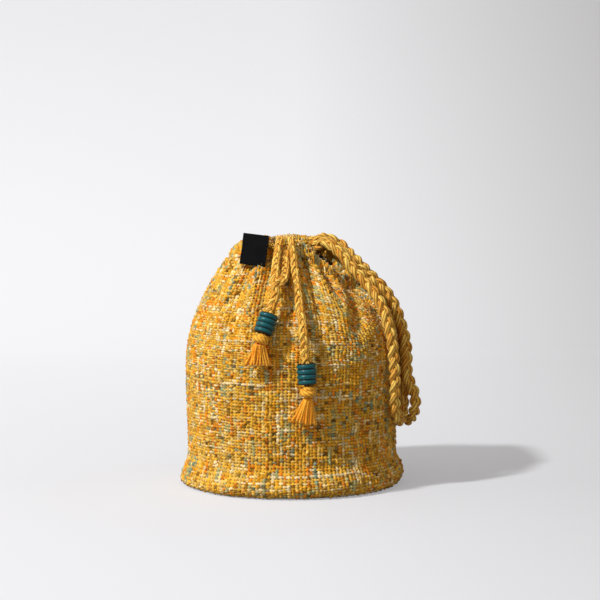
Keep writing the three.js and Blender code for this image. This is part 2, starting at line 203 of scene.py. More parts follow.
def ease(share: np.ndarray) -> np.ndarray:
    """Runs from 0 to 1 with a smooth start and end, and stays there outside."""
    share = np.clip(share, 0.0, 1.0)
    return share * share * (3 - 2 * share)


def bell(distance: np.ndarray, width: float) -> np.ndarray:
    """Falls smoothly from 1 at no distance to almost nothing at twice the width."""
    return np.exp(-(distance / width) ** 2)


def bowed(start: np.ndarray, bend: np.ndarray, end: np.ndarray, share: np.ndarray) -> np.ndarray:
    """Runs from a start to an end on a curve that leans towards a bend."""
    return (1 - share) ** 2 * start + 2 * share * (1 - share) * bend + share ** 2 * end


def turned(side: np.ndarray, front: np.ndarray, angle: np.ndarray | float) -> np.ndarray:
    """Finds the direction at an angle from a side towards a front."""
    return side * np.cos(angle) + front * np.sin(angle)


def from_ends(count: int) -> np.ndarray:
    """Counts how far each point of a row lies from the nearer end."""
    return np.minimum(np.arange(count), np.arange(count)[::-1])


def run_along(points: np.ndarray) -> np.ndarray:
    """Measures how far along a line of points each one lies."""
    return np.concatenate([[0], np.cumsum(np.linalg.norm(np.diff(points, axis=0), axis=1))])


def soft_field(rng: np.random.Generator, columns: int, rows: int, swells: tuple) -> np.ndarray:
    """Makes smooth random unevenness over a grid.

    Args:
        rng: The seeded source of chance.
        columns: Points across.
        rows: Points up.
        swells: For each set of swells, its height and the points that one swell takes.

    Returns:
        Values, columns by rows, that seldom pass the sum of the heights.
    """
    def blend(values: np.ndarray, count: int, cell: float) -> np.ndarray:
        """Draws smooth lines through coarse values along the first axis.

        Args:
            values: The coarse values.
            count: Points wanted.
            cell: Points from one coarse value to the next.

        Returns:
            The values at those points.
        """
        place = np.arange(count) / cell + 1
        low = place.astype(int)
        share = ease(place - low).reshape(-1, *[1] * (values.ndim - 1))
        return values[low] * (1 - share) + values[low + 1] * share

    field = np.zeros((columns, rows))
    for height, cell in swells:
        coarse = rng.normal(size=(int(columns / cell) + 4, int(rows / cell) + 4)) * SWELL_SPREAD
        field += height * blend(blend(coarse, columns, cell).T, rows, cell).T
    return field


class SmoothLine:
    """A centripetal Catmull-Rom curve through points, open or closed."""

    STEP = 1e-4  # share of the line over which a direction is taken
    FINE = 40  # points for each span where the line is measured

    def __init__(self, points: tuple, closed: bool = False) -> None:
        """Keeps the points, with a mirrored point past each end of an open line.

        Args:
            points: The points that the line goes through.
            closed: Whether it comes back to the first one.
        """
        self.closed = closed
        self.points = np.array(points, float)
        self.spans = len(points) if closed else len(points) - 1
        if not closed:
            first = 2 * self.points[0] - self.points[1]
            last = 2 * self.points[-1] - self.points[-2]
            self.points = np.vstack([first, self.points, last])

    def at(self, share: np.ndarray) -> np.ndarray:
        """Finds points on the line.

        Args:
            share: How far along each point lies, from 0 to 1.

        Returns:
            One point for each share.
        """
        place = (share % 1.0 if self.closed else np.clip(share, 0.0, 1.0)) * self.spans
        first = np.minimum(place.astype(int), self.spans - 1)
        weight = (place - first)[..., None]
        start = first - 1 if self.closed else first
        before, near, far, after = (self.points[(start + k) % len(self.points)] for k in range(4))
        gaps = [((b - a) ** 2).sum(-1, keepdims=True) ** 0.25
                for a, b in ((before, near), (near, far), (far, after))]
        leave = (near - before) / gaps[0] - (far - before) / (gaps[0] + gaps[1]) + (far - near) / gaps[1]
        arrive = (far - near) / gaps[1] - (after - near) / (gaps[1] + gaps[2]) + (after - far) / gaps[2]
        leave, arrive = leave * gaps[1], arrive * gaps[1]
        bend = 3 * (far - near) - 2 * leave - arrive
        twist = 2 * (near - far) + leave + arrive
        return near + weight * (leave + weight * (bend + weight * twist))

    def direction(self, share: np.ndarray) -> np.ndarray:
        """Finds the line's directions at shares along it."""
        return unit(self.at(share + self.STEP) - self.at(share - self.STEP))

    def spaced(self, step: float) -> np.ndarray:
        """Finds evenly spaced points along the whole line.

        Args:
            step: About how far apart they lie.

        Returns:
            The points.
        """
        fine = self.at(np.linspace(0, 1, self.FINE * self.spans))
        run = run_along(fine)
        places = np.linspace(0, run[-1], max(2, round(run[-1] / step)) + 1)
        return np.stack([np.interp(places, run, fine[:, k]) for k in range(3)], axis=1)


def tube_rings(path: np.ndarray, radius: np.ndarray | float, sides: int, facing: np.ndarray,
               plies: int = 0, twist: float = 1.0) -> np.ndarray:
    """Lays rings of points round a path, with the plies of a twisted yarn if it has any.

    Args:
        path: Middles of the rings.
        radius: One radius, or one for each ring.
        sides: Points in a ring.
        facing: A direction, or one for each ring, that the first quarter of a ring turns to.
        plies: Yarns twisted together.
        twist: Length in which a ply goes once round.

    Returns:
        Points, rings by sides by 3.
    """
    along = unit(np.gradient(path, axis=0))
    side = unit(np.cross(along, np.broadcast_to(facing, path.shape)))
    up = np.cross(side, along)
    angle = TURN * np.arange(sides) / sides
    swell = np.ones((len(path), sides))
    if plies:
        lay = run_along(path)[:, None] / twist
        swell += PLY_SWELL * np.cos(plies * angle[None, :] + plies * TURN * lay)
    reach = (np.broadcast_to(radius, len(path))[:, None] * swell)[..., None]
    return path[:, None, :] + reach * turned(side[:, None, :], up[:, None, :], angle[None, :, None])


def round_ends(count: int, rings: int, tip: float = 0.35) -> np.ndarray:
    """Rounds off both ends of a tube over a few rings, the first of them a little way in.

    Args:
        count: Rings in the tube.
        rings: Rings that one end takes.
        tip: How far in the first ring lies, in rings.

    Returns:
        A share of the radius for each ring.
    """
    return np.sqrt(1 - np.clip(1 - (from_ends(count) + tip) / rings, 0, 1) ** 2)


def lay_grid(bm: bmesh.types.BMesh, points: np.ndarray, uv: bmesh.types.BMLayerItem,
             flat: tuple[float, float]) -> list[bmesh.types.BMVert]:
    """Adds a grid of faces through points.

    Args:
        bm: The working mesh.
        points: Points in millimetres, rows by columns by 3.
        uv: The UV map that is filled.
        flat: How far the UV map runs across the columns and up the rows.

    Returns:
        The new vertices.
    """
    rows, columns, _ = points.shape
    made = bmesh.ops.create_grid(
        bm, x_segments=columns - 1, y_segments=rows - 1, size=0.5, calc_uvs=True)["verts"]
    for face in {face for vertex in made for face in vertex.link_faces}:
        for loop in face.loops:
            loop[uv].uv = loop[uv].uv * Vector(flat)
    for vertex, point in zip(made, points.reshape(-1, 3) * MM):
        vertex.co = point
    return made


def made_mesh(bm: bmesh.types.BMesh, name: str) -> bpy.types.Mesh:
    """Makes a mesh of a working mesh, with its faces outwards.

    Args:
        bm: The working mesh, which is freed.
        name: The mesh's name.

    Returns:
        The mesh.
    """
    bmesh.ops.recalc_face_normals(bm, faces=bm.faces)
    mesh = bpy.data.meshes.new(name)
    bm.to_mesh(mesh)
    bm.free()
    return mesh


class TubeMesh:
    """A mesh of closed tubes, with how far round and along each point lies in a UV map."""

    def __init__(self) -> None:
        """Starts with no tubes."""
        self.bm = bmesh.new()
        self.uv = self.bm.loops.layers.uv.new("strand")
        self.tint = self.bm.verts.layers.float.new("tint")

    def add(self, rings: np.ndarray, tint: float) -> None:
        """Adds one tube.

        Args:
            rings: Its points in millimetres, rings by sides by 3.
            tint: Its own shade, from 0 to 1.
        """
        length = float(run_along(rings.mean(axis=1))[-1])
        made = lay_grid(self.bm, np.concatenate([rings, rings[:, :1]], axis=1), self.uv, (1.0, length))
        for vertex in made:
            vertex[self.tint] = tint
        bmesh.ops.remove_doubles(self.bm, verts=made, dist=WELD)
        bmesh.ops.edgeloop_fill(self.bm, edges=[edge for edge in self.bm.edges if edge.is_boundary])


def place_piece(name: str, mesh: bpy.types.Mesh, material: bpy.types.Material,
                body: Body = Body.BAG, node: str = "") -> bpy.types.Object:
    """Puts a finished mesh in the scene as a piece of the bag.

    Args:
        name: The piece's name.
        mesh: Its mesh, in place.
        material: Its finish.
        body: The body that it moves with.
        node: The plain solid that it stands for.

    Returns:
        The piece.
    """
    piece = bpy.data.objects.new(name, mesh)
    bpy.context.scene.collection.objects.link(piece)
    mesh.materials.append(material)
    mesh.shade_smooth()
    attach(piece, body.value)
    if node:
        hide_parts(node)
    LOG.info("%s: %d faces", name, len(mesh.polygons))
    return piece


@dataclass(frozen=True)
class Weave:
    """How the tweed's uneven yarns cross: sizes in millimetres, heights and lifts in shares of the relief."""

    pitch: float = 3.1  # between warp yarns
    pick: float = 2.5  # between weft yarns
    relief: float = 1.7
    middle: float = 0.75  # height that the relief is counted from
    warp_swell: float = 1.1
    weft_swell: float = 0.62
    crossing: float = 0.42
    samples: int = 3  # mesh points for each yarn
    warp_stray: tuple = ((0.26, 11), (0.16, 4))  # swells of the yarns' paths, in yarns and mesh points
    weft_stray: tuple = ((0.28, 9), (0.16, 4))
    warp_run: float = 1.5  # usual length of one dye, in crossings
    weft_run: float = 1.0
    main_dye: float = 0.2  # share of the runs that keep to their yarn's main dye
    fading: tuple = (0.6, 1.1)
    warp_lift: tuple = (0.0, 0.16)  # middle and spread, from yarn to yarn
    weft_lift: tuple = (-0.05, 0.12)
    crossing_lift: float = 0.14  # spread from crossing to crossing
    slubs: int = 26  # stretches of thick cream weft in a panel
    slub_run: tuple = (4, 18)  # crossings
    slub_lift: tuple = (0.1, 0.6)
    slub_fading: tuple = (0.65, 1.0)
    slub_free: tuple = (2, 4)  # weft yarns without slubs, at the foot and at the top
    holes: float = 0.04  # share of the crossings where both yarns sink
    hole_drop: float = 0.45
    # share of the dye left in a hole: painted shade where the yarns sink
    hole_shade: float = 0.35

    def height(self, x: np.ndarray, y: np.ndarray, warp_lift: np.ndarray | float,
               weft_lift: np.ndarray | float) -> np.ndarray:
        """Finds the top of the cloth, where x counts warp yarns and y weft yarns.

        Args:
            x: Places across, in warp yarns.
            y: Places up, in weft yarns.
            warp_lift: How proud the warp yarn is there.
            weft_lift: How proud the weft yarn is there.

        Returns:
            Heights in millimetres, about 0 on average.
        """
        over = np.sin(math.pi * x) * np.sin(math.pi * y)
        warp = self.warp_swell * (1 - np.abs(2 * (x % 1) - 1)) + self.crossing * over + warp_lift
        weft = self.weft_swell * (1 - np.abs(2 * (y % 1) - 1)) - self.crossing * over + weft_lift
        return self.relief * (np.maximum(warp, weft) - self.middle)


@dataclass(frozen=True)
class TweedFinish:
    """Handloom tweed of soft plied yarns: matt and hairy, dyed in short runs, with painted shade between
    yarns.
    """

    weave: Weave
    roughness: float = 0.92
    sheen: float = 0.25
    sheen_tint: str = "#FFE9C0"
    blur: float = 0.08  # how softly one yarn's dye meets the next
    fibres: tuple[float, float] = (1.6, 7.0)  # streaks of fibre for each yarn, along and across it
    fibre_span: tuple[float, float] = (0.3, 0.7)
    fibre_light: tuple[float, float] = (0.74, 1.22)
    gap_span: tuple[float, float] = (0.30, 0.52)
    gap_shade: float = 0.16  # share of the colour left at the bottom of a gap, as painted shade
    bump: float = 0.6  # millimetres

    def material(self) -> bpy.types.Material:
        """Builds the material, which reads the cloth's own yarn counts and dyes, the dyes with painted shade
        in the holes.

        Returns:
            The material.
        """
        material = bpy.data.materials.new("handloom tweed")
        add = fresh_nodes(material)
        uv = add("UVMap", uv_map="weave")[0]
        crowns, waves = [], []
        for count in add("SeparateXYZ", (uv,))[:2]:
            crowns.append(add("Math", (count, 0.5), operation="PINGPONG")[0])
            angle = add("Math", (count, math.pi), operation="MULTIPLY")[0]
            waves.append(add("Math", (angle,), operation="SINE")[0])
        over = add("Math", waves, operation="MULTIPLY")[0]

        # The yarn on top is the one that stands higher, as in the relief.
        proud = add("Attribute", attribute_name="lift")["Fac"]
        heights = (2 * self.weave.warp_swell, -2 * self.weave.weft_swell, 2 * self.weave.crossing)
        for value, height in zip((*crowns, over), heights):
            proud = add("Math", (value, height, proud), operation="MULTIPLY_ADD")[0]
        on_top = add("MapRange", (proud, -self.blur, self.blur))[0]
        # The dyes hold painted shade where both yarns sink into a hole.
        weft_dye, warp_dye = (
            add("Attribute", attribute_name=name)["Color"] for name in ("weft_dye", "warp_dye"))
        dye = add("Mix", {0: on_top, 6: weft_dye, 7: warp_dye}, data_type="RGBA")[2]

        # Fibres run along each yarn, and the gaps between yarns are darkened as painted shade.
        streaks = []
        for stretch in (self.fibres, self.fibres[::-1]):
            drawn = add("VectorMath", (uv, (*stretch, 1.0)), operation="MULTIPLY")[0]
            streaks.append(add(
                "TexNoise", {"Vector": drawn, "Scale": 1.0, "Detail": 3.0, "Roughness": 0.6})["Fac"])
        fibre = add("Mix", {0: on_top, 2: streaks[0], 3: streaks[1]}, data_type="FLOAT")[0]
        fibre_shade = add("MapRange", (fibre, *self.fibre_span, *self.fibre_light))[0]
        crown = add("Math", crowns, operation="MAXIMUM")[0]
        ragged = add("Math", (fibre, 0.5, crown), operation="MULTIPLY_ADD")[0]
        gap = add("MapRange", (ragged, *self.gap_span, self.gap_shade, 1.0))[0]
        shade = add("Math", (fibre_shade, gap), operation="MULTIPLY")[0]
        # The base colour is the dye times the fibre tone and the painted gap shade.
        shader = add("BsdfPrincipled", {
            "Base Color": add("VectorMath", {0: dye, "Scale": shade}, operation="SCALE")[0],
            "Normal": add("Bump", {"Strength": 0.8, "Distance": self.bump * MM, "Height": ragged})[0],
            "Roughness": self.roughness, "Specular IOR Level": 0.2, "Sheen Weight": self.sheen,
            "Sheen Roughness": 0.5, "Sheen Tint": linear(self.sheen_tint),
        })[0]
        add("OutputMaterial", (shader,))
        return material


@dataclass(frozen=True)
class YarnFinish:
    """Mercerised cotton yarn of twisted plies: a soft sheen on the crowns, and painted shade in the lines
    between plies.
    """

    name: str
    light: str
    deep: str
    # colour of the painted shade in the grooves between plies
    shadow: str
    plies: int
    twist: float  # millimetres in which a ply goes once round
    roughness: float = 0.78
    sheen: float = 0.2
    sheen_tint: str = "#FFE2A8"
    fibres: tuple[float, float] = (26.0, 0.45)  # streaks round the yarn, and for each millimetre along it
    patch: float = 9.0  # millimetres between uneven patches of dye
    groove: float = 0.26  # share of a ply that is painted in shade
    bump: float = 0.5  # millimetres

    def material(self) -> bpy.types.Material:
        """Builds the material, which reads how far round and along the yarn a point lies.

        Returns:
            The material.
        """
        material = bpy.data.materials.new(self.name)
        add = fresh_nodes(material)
        uv = add("UVMap", uv_map="strand")[0]
        place = add("SeparateXYZ", (uv,))
        turn = add("Math", (place[1], 1 / self.twist, place[0]), operation="MULTIPLY_ADD")[0]
        plies = add("Math", (turn, float(self.plies)), operation="MULTIPLY")[0]
        crown = add("Math", (plies, 0.5), operation="PINGPONG")[0]
        drawn = add("VectorMath", (uv, (*self.fibres, 1.0)), operation="MULTIPLY")[0]
        fibre = add("TexNoise", {"Vector": drawn, "Scale": 1.0, "Detail": 3.0})["Fac"]
        spot = add("TexCoord")["Object"]
        patch = add("TexNoise", {"Vector": spot, "Scale": 1 / (self.patch * MM), "Detail": 2.0})["Fac"]
        mixed = add("Attribute", attribute_name="tint")["Fac"]
        for uneven in (patch, fibre):
            mixed = add("Math", (mixed, uneven), operation="ADD")[0]
        shade = add("MapRange", (mixed, 1.0, 2.0))[0]
        dye = add("Mix", {0: shade, 6: linear(self.deep), 7: linear(self.light)}, data_type="RGBA")[2]
        # Painted shade: the grooves between plies take the shadow colour.
        crest = add("MapRange", (crown, 0.0, self.groove))[0]
        height = add("Math", (fibre, 0.6, crown), operation="MULTIPLY_ADD")[0]
        shader = add("BsdfPrincipled", {
            "Base Color": add("Mix", {0: crest, 6: linear(self.shadow), 7: dye}, data_type="RGBA")[2],
            "Normal": add("Bump", {"Strength": 0.7, "Distance": self.bump * MM, "Height": height})[0],
            "Roughness": self.roughness, "Specular IOR Level": 0.3, "Sheen Weight": self.sheen,
            "Sheen Roughness": 0.4, "Sheen Tint": linear(self.sheen_tint),
        })[0]
        add("OutputMaterial", (shader,))
        return material


@dataclass(frozen=True)
class WovenFinish:
    """Fine plain-woven cotton or satin: matt, with thread crowns painted lighter and the hollows between them
    darker, as painted highlight and shade.
    """

    name: str
    # light and deep: colours for thread crowns and for hollows and clouds, partly painted highlight and
    # shade, partly uneven tone
    light: str
    deep: str
    thread: float  # millimetres between threads, drawn coarser than life so that they show
    roughness: float
    specular: float
    sheen: float = 0.1
    cloud: float = 6.0  # millimetres between uneven patches
    bump: float = 0.2  # millimetres

    def material(self) -> bpy.types.Material:
        """Builds the material from two crossing sets of threads.

        Returns:
            The material.
        """
        material = bpy.data.materials.new(self.name)
        add = fresh_nodes(material)
        threads = []
        for side in add("SeparateXYZ", (add("UVMap", uv_map="cloth")[0],))[:2]:
            count = add("Math", (side, math.pi / self.thread), operation="MULTIPLY")[0]
            threads.append(add("Math", (count,), operation="SINE")[0])
        over = add("Math", threads, operation="MULTIPLY")[0]
        spot = add("TexCoord")["Object"]
        cloud = add("TexNoise", {"Vector": spot, "Scale": 1 / (self.cloud * MM), "Detail": 4.0})["Fac"]
        # Painted highlight and shade: the colour is lighter where the threads stand high and darker where
        # they sink, broken up by uneven clouds of tone.
        height = add("MapRange", (over, -1.0, 1.0))[0]
        both = add("Math", (height, cloud), operation="MULTIPLY")[0]
        shade = add("MapRange", (both, 0.05, 0.55))[0]
        shader = add("BsdfPrincipled", {
            "Base Color": add(
                "Mix", {0: shade, 6: linear(self.deep), 7: linear(self.light)}, data_type="RGBA")[2],
            "Normal": add("Bump", {"Strength": 0.5, "Distance": self.bump * MM, "Height": height})[0],
            "Roughness": self.roughness, "Specular IOR Level": self.specular, "Sheen Weight": self.sheen,
        })[0]
        add("OutputMaterial", (shader,))
        return material


@dataclass(frozen=True)
class LacquerFinish:
    """Turned wood under teal lacquer: smooth and glossy on the ribs, dull in the grooves, which are painted
    nearly black as painted shade.
    """

    rib: str = "#046266"
    brush: str = "#02424A"
    # colour of the painted shade deep in the grooves
    groove: str = "#01090B"
    roughness: float = 0.4
    groove_roughness: float = 0.7
    coat: float = 0.14
    strokes: tuple[float, float, float] = (300.0, 300.0, 1400.0)  # brush strokes in a metre, each way
    bump: float = 0.2  # millimetres

    def material(self) -> bpy.types.Material:
        """Builds the material, which reads how deep in a groove a point lies.

        Returns:
            The material.
        """
        material = bpy.data.materials.new("teal lacquered wood")
        add = fresh_nodes(material)
        drawn = add("VectorMath", (add("TexCoord")["Object"], self.strokes), operation="MULTIPLY")[0]
        streak = add("TexNoise", {"Vector": drawn, "Scale": 1.0, "Detail": 4.0})["Fac"]
        shade = add("MapRange", (streak, 0.35, 0.65))[0]
        paint = add("Mix", {0: shade, 6: linear(self.brush), 7: linear(self.rib)}, data_type="RGBA")[2]
        # Painted shade: deep in a groove the paint turns nearly black.
        depth = add("Attribute", attribute_name="groove")["Fac"]
        dark = add("MapRange", (depth, 0.3, 0.75))[0]
        shader = add("BsdfPrincipled", {
            "Base Color": add("Mix", {0: dark, 6: paint, 7: linear(self.groove)}, data_type="RGBA")[2],
            "Normal": add("Bump", {"Strength": 0.25, "Distance": self.bump * MM, "Height": streak})[0],
            "Roughness": add("MapRange", (depth, 0.2, 1.0, self.roughness, self.groove_roughness))[0],
            "Specular IOR Level": 0.2, "Coat Weight": self.coat, "Coat Roughness": 0.22,
        })[0]
        add("OutputMaterial", (shader,))
        return material


@dataclass(frozen=True)
class PaperFinish:
    """Matt white studio paper: it glows a little for the camera, so that shadows on it stay pale."""

    sheet: str = "#B4B5B8"
    bounce: str = "#9C9A96"  # the paper as the bag sees it
    floor_glow: str = "#98999D"
    bend_glow: str = "#BFC0C4"  # where the paper turns up behind the bag
    wall_glow: str = "#AEAFB3"
    bend_back: float = 0.9  # metres behind the bag where the bend's glow is full
    wall_up: float = 0.55  # metres up where the wall's glow is full
    far_side: float = 0.6  # metres to the side away from the lamp where the glow is least
    far_dim: float = 0.45  # share of the glow left there

    def material(self) -> bpy.types.Material:
        """Builds the material.

        Returns:
            The material.
        """
        material = bpy.data.materials.new("matt studio paper")
        add = fresh_nodes(material)
        across, back, up = add("SeparateXYZ", (add("TexCoord")["Object"],))[:3]
        strength = add("MapRange", (across, 0.0, self.far_side, 1.0, self.far_dim))[0]
        glow = linear(self.floor_glow)
        for place, full, next_glow in (
                (back, self.bend_back, self.bend_glow), (up, self.wall_up, self.wall_glow)):
            share = add("MapRange", (place, 0.0, full))[0]
            glow = add("Mix", {0: share, 6: glow, 7: linear(next_glow)}, data_type="RGBA")[2]
        lit = add("BsdfDiffuse", (linear(self.sheet),))[0]
        shown = add("AddShader", (lit, add("Emission", (glow, strength))[0]))[0]
        hidden = add("BsdfDiffuse", (linear(self.bounce),))[0]
        add("OutputMaterial", (add("MixShader", (seen_rays(add), hidden, shown))[0],))
        return material


@dataclass(frozen=True)
class BagForm:
    """The bag's form as its solids have it, in millimetres; shares run round from the front, then right."""

    width: float = 190.0
    depth: float = 160.0
    foot_inset: float = 10.0
    foot_rows: float = 0.13  # share of the rows up to the belly that go round the foot
    flare_height: float = 8.0
    flare_tilt: float = 4.0
    waist_height: float = 28.0
    waist_inset: float = 6.5
    waist_rows: float = 0.31  # share of the rows that lie below the waist
    belly_height: float = 105.0
    belly_inset: float = 5.0
    shoulder_height: float = 145.0
    cloth: float = 2.0
    lining: float = 1.0
    clearance: float = 0.3
    gather_count: int = 18
    gather_depth: float = 5.0
    gather_drift: float = 0.8  # how far the gathers stray from even places
    gather_range: float = 0.35  # how much they differ in depth
    hem_gather: float = 1.8
    valley: float = 0.8  # how much deeper the hollows of the gathers are than their crowns are high
    fold_place: float = 0.105
    fold_width: float = 0.022
    fold_depth: float = 4.5
    full_place: float = 0.21  # middle of the fuller cloth on the right, below the loops
    full_width: float = 0.06
    full_depth: float = 8.0
    hem_height: float = 20.0
    hem_thickness: float = 11.0
    hem_lean: float = 24.0
    hem_foot_turn: float = -65.0
    seam_turn: float = -32.0  # where the tweed's shoulder runs into the hem
    sag_place: float = 0.19  # where the rim hangs a little lower, right of the front
    sag_width: float = 0.05
    sag_depth: float = 5.5
    mouth_height: float = 197.0
    slit_depth: float = 10.5  # under the short end, below the middle of the hem
    slit_rest: float = 2.5  # under the long ends
    slit_floor: float = 3.5  # half the width of the deep floor under the short end
    slit_side: float = 2.0
    slit_rises: tuple = ((8.0, 14.0, 13.0), (22.0, 10.0, 30.0))  # beside the slit: start, run and height
    hem_course: tuple = (
        (-5, -32, 10), (27, -25, -15), (48, 0, -22), (30, 25, -1),
        (0, 33, 4), (-32, 25, 2), (-46.5, 0, -2), (-31, -27, 2),
    )

    def mouth(self) -> SmoothLine:
        """Draws the middle line of the hem round the mouth."""
        return SmoothLine([(x, y, self.mouth_height + rise) for x, y, rise in self.hem_course], closed=True)

    def gather(self, share: np.ndarray) -> np.ndarray:
        """Finds how far the gathers stand out or in.

        Args:
            share: Places round the bag.

        Returns:
            Values from about 1.4 on a crown down to deeper hollows.
        """
        turn = TURN * share
        wave = np.cos(self.gather_count * turn + self.gather_drift * np.sin(3 * turn) + math.pi)
        wave = wave * (1 + self.gather_range * np.sin(2 * turn + 1))
        return wave - self.valley * np.minimum(wave, 0) ** 2

    def flare(self, share: np.ndarray) -> np.ndarray:
        """Finds the height of the widest line of the foot."""
        return self.flare_height + self.flare_tilt * np.cos(TURN * share - math.pi / 2)

    def wall_height(self, share: np.ndarray, rise: np.ndarray) -> np.ndarray:
        """Spreads rows up the wall from the ground, round the foot and up to the belly.

        Args:
            share: Places round the bag, as a column.
            rise: Shares of the way up, as a row.

        Returns:
            Heights.
        """
        foot, waist, flare = self.foot_rows, self.waist_rows, self.flare(share)
        round_foot = flare * (1 - np.sin((1 - np.clip(rise / foot, 0, 1)) * math.pi / 2))
        to_waist = flare + (self.waist_height - flare) * (rise - foot) / (waist - foot)
        to_belly = self.waist_height + (self.belly_height - self.waist_height) * (rise - waist) / (1 - waist)
        return np.where(rise < foot, round_foot, np.where(rise < waist, to_waist, to_belly))

    def body(self, share: np.ndarray, height: np.ndarray) -> np.ndarray:
        """Finds points of the wall below the shoulder.

        Args:
            share: Places round the bag.
            height: Heights above the ground.

        Returns:
            Points.
        """
        angle = TURN * share - math.pi / 2
        flare = self.flare(share)
        drop = np.clip(1 - height / flare, 0, 1)
        foot = self.foot_inset * (1 - np.sqrt(1 - drop * drop))
        waist = self.waist_inset * ease((height - flare) / (self.waist_height - flare))
        rise = ease((height - self.waist_height) / (self.belly_height - self.waist_height))
        belly = rise * (self.belly_inset - self.waist_inset)
        x, y = self.width / 2 * np.cos(angle), self.depth / 2 * np.sin(angle)
        keep = 1 - (foot + waist + belly) / np.hypot(x, y)
        return np.stack(np.broadcast_arrays(x * keep, y * keep, height), axis=-1)

    def hem(self, share: np.ndarray, turn: np.ndarray, grow: float = 0.0) -> np.ndarray:
        """Finds points of the hem's section, where turn 0 faces out, 90 up and 180 into the mouth.

        Args:
            share: Places round the bag, as a column.
            turn: Degrees round the section.
            grow: How far outside the section's own skin.

        Returns:
            Points.
        """
        line = self.mouth()
        along = line.direction(share)
        level = unit(np.stack([along[..., 1], -along[..., 0], np.zeros(share.shape)], axis=-1))
        rise = np.array([0.0, 0.0, 1.0])
        lean, turn = math.radians(self.hem_lean), np.radians(turn)
        out = level * math.cos(lean) + rise * math.sin(lean)
        up = rise * math.cos(lean) - level * math.sin(lean)
        half = self.hem_thickness / 2 + grow + self.hem_gather * (1 + self.gather(share)) / 2
        sag = self.sag_depth * bell(share - self.sag_place, self.sag_width)
        return (line.at(share) - rise * sag[..., None] + out * (half * np.cos(turn))[..., None]
                + up * ((self.hem_height / 2 + grow) * np.sin(turn))[..., None])

    def shoulder(self, share: np.ndarray, rise: np.ndarray, top_turn: float) -> np.ndarray:
        """Finds points between belly and hem, with the gathers and the long fold.

        Args:
            share: Places round the bag, as a column.
            rise: Shares of the way up, as a row.
            top_turn: Degrees round the hem's section where the shoulder ends.

        Returns:
            Points.
        """
        low = self.body(share, np.array(self.belly_height))
        turn_in = low * (1.0, 1.0, 0.0) + (0.0, 0.0, self.shoulder_height)
        points = bowed(low, turn_in, self.hem(share, np.array(top_turn)), rise[..., None])
        gather = self.gather_depth * self.gather(share) * rise ** 2 * (1 - rise / 2)
        # The fold is deepest halfway up, and the cloth is fullest at two thirds.
        fold = self.fold_depth * bell(share - self.fold_place, self.fold_width) * 4 * rise * (1 - rise)
        full = self.full_depth * bell(share - self.full_place, self.full_width)
        return self.moved_in(points, -gather - fold - full * 27 / 4 * rise ** 2 * (1 - rise))

    def slit_opened(self, points: np.ndarray) -> np.ndarray:
        """Lets the hem down at the front, most of all where the drawstring's short end leaves it.

        Args:
            points: Points of the hem.

        Returns:
            The points, none above the slit's floor.
        """
        middle_x, _, rise = self.hem_course[0]
        aside = np.abs(points[..., 0] - middle_x)
        saddle = sum(height * ease((aside - start) / run) for start, run, height in self.slit_rises)
        deep_share = 1 - ease((aside - self.slit_floor) / self.slit_side)
        limit = self.mouth_height + rise - self.slit_rest + saddle
        limit = limit - deep_share * (self.slit_depth - self.slit_rest)
        points[..., 2] = np.minimum(points[..., 2], limit)
        return points

    @staticmethod
    def moved_in(points: np.ndarray, distance: np.ndarray) -> np.ndarray:
        """Moves points level towards the bag's upright axis."""
        share = 1 - distance / np.maximum(np.hypot(points[..., 0], points[..., 1]), 1.0)
        return np.stack([points[..., 0] * share, points[..., 1] * share, points[..., 2]], axis=-1)


class PanelSide(Enum):
    """The wall's two cuts: node, side seams as shares round from the front, and seed of its chances."""

    FRONT = ("front_panel", -0.25, 0.25, 11)
    BACK = ("back_panel", 0.25, 0.75, 12)


@dataclass(frozen=True)
class Crease:
    """A soft fold in the cloth, between two points counted in warp and weft yarns."""

    start: tuple[float, float]
    end: tuple[float, float]
    width: float  # millimetres
    depth: float  # millimetres inwards, or outwards if less than 0


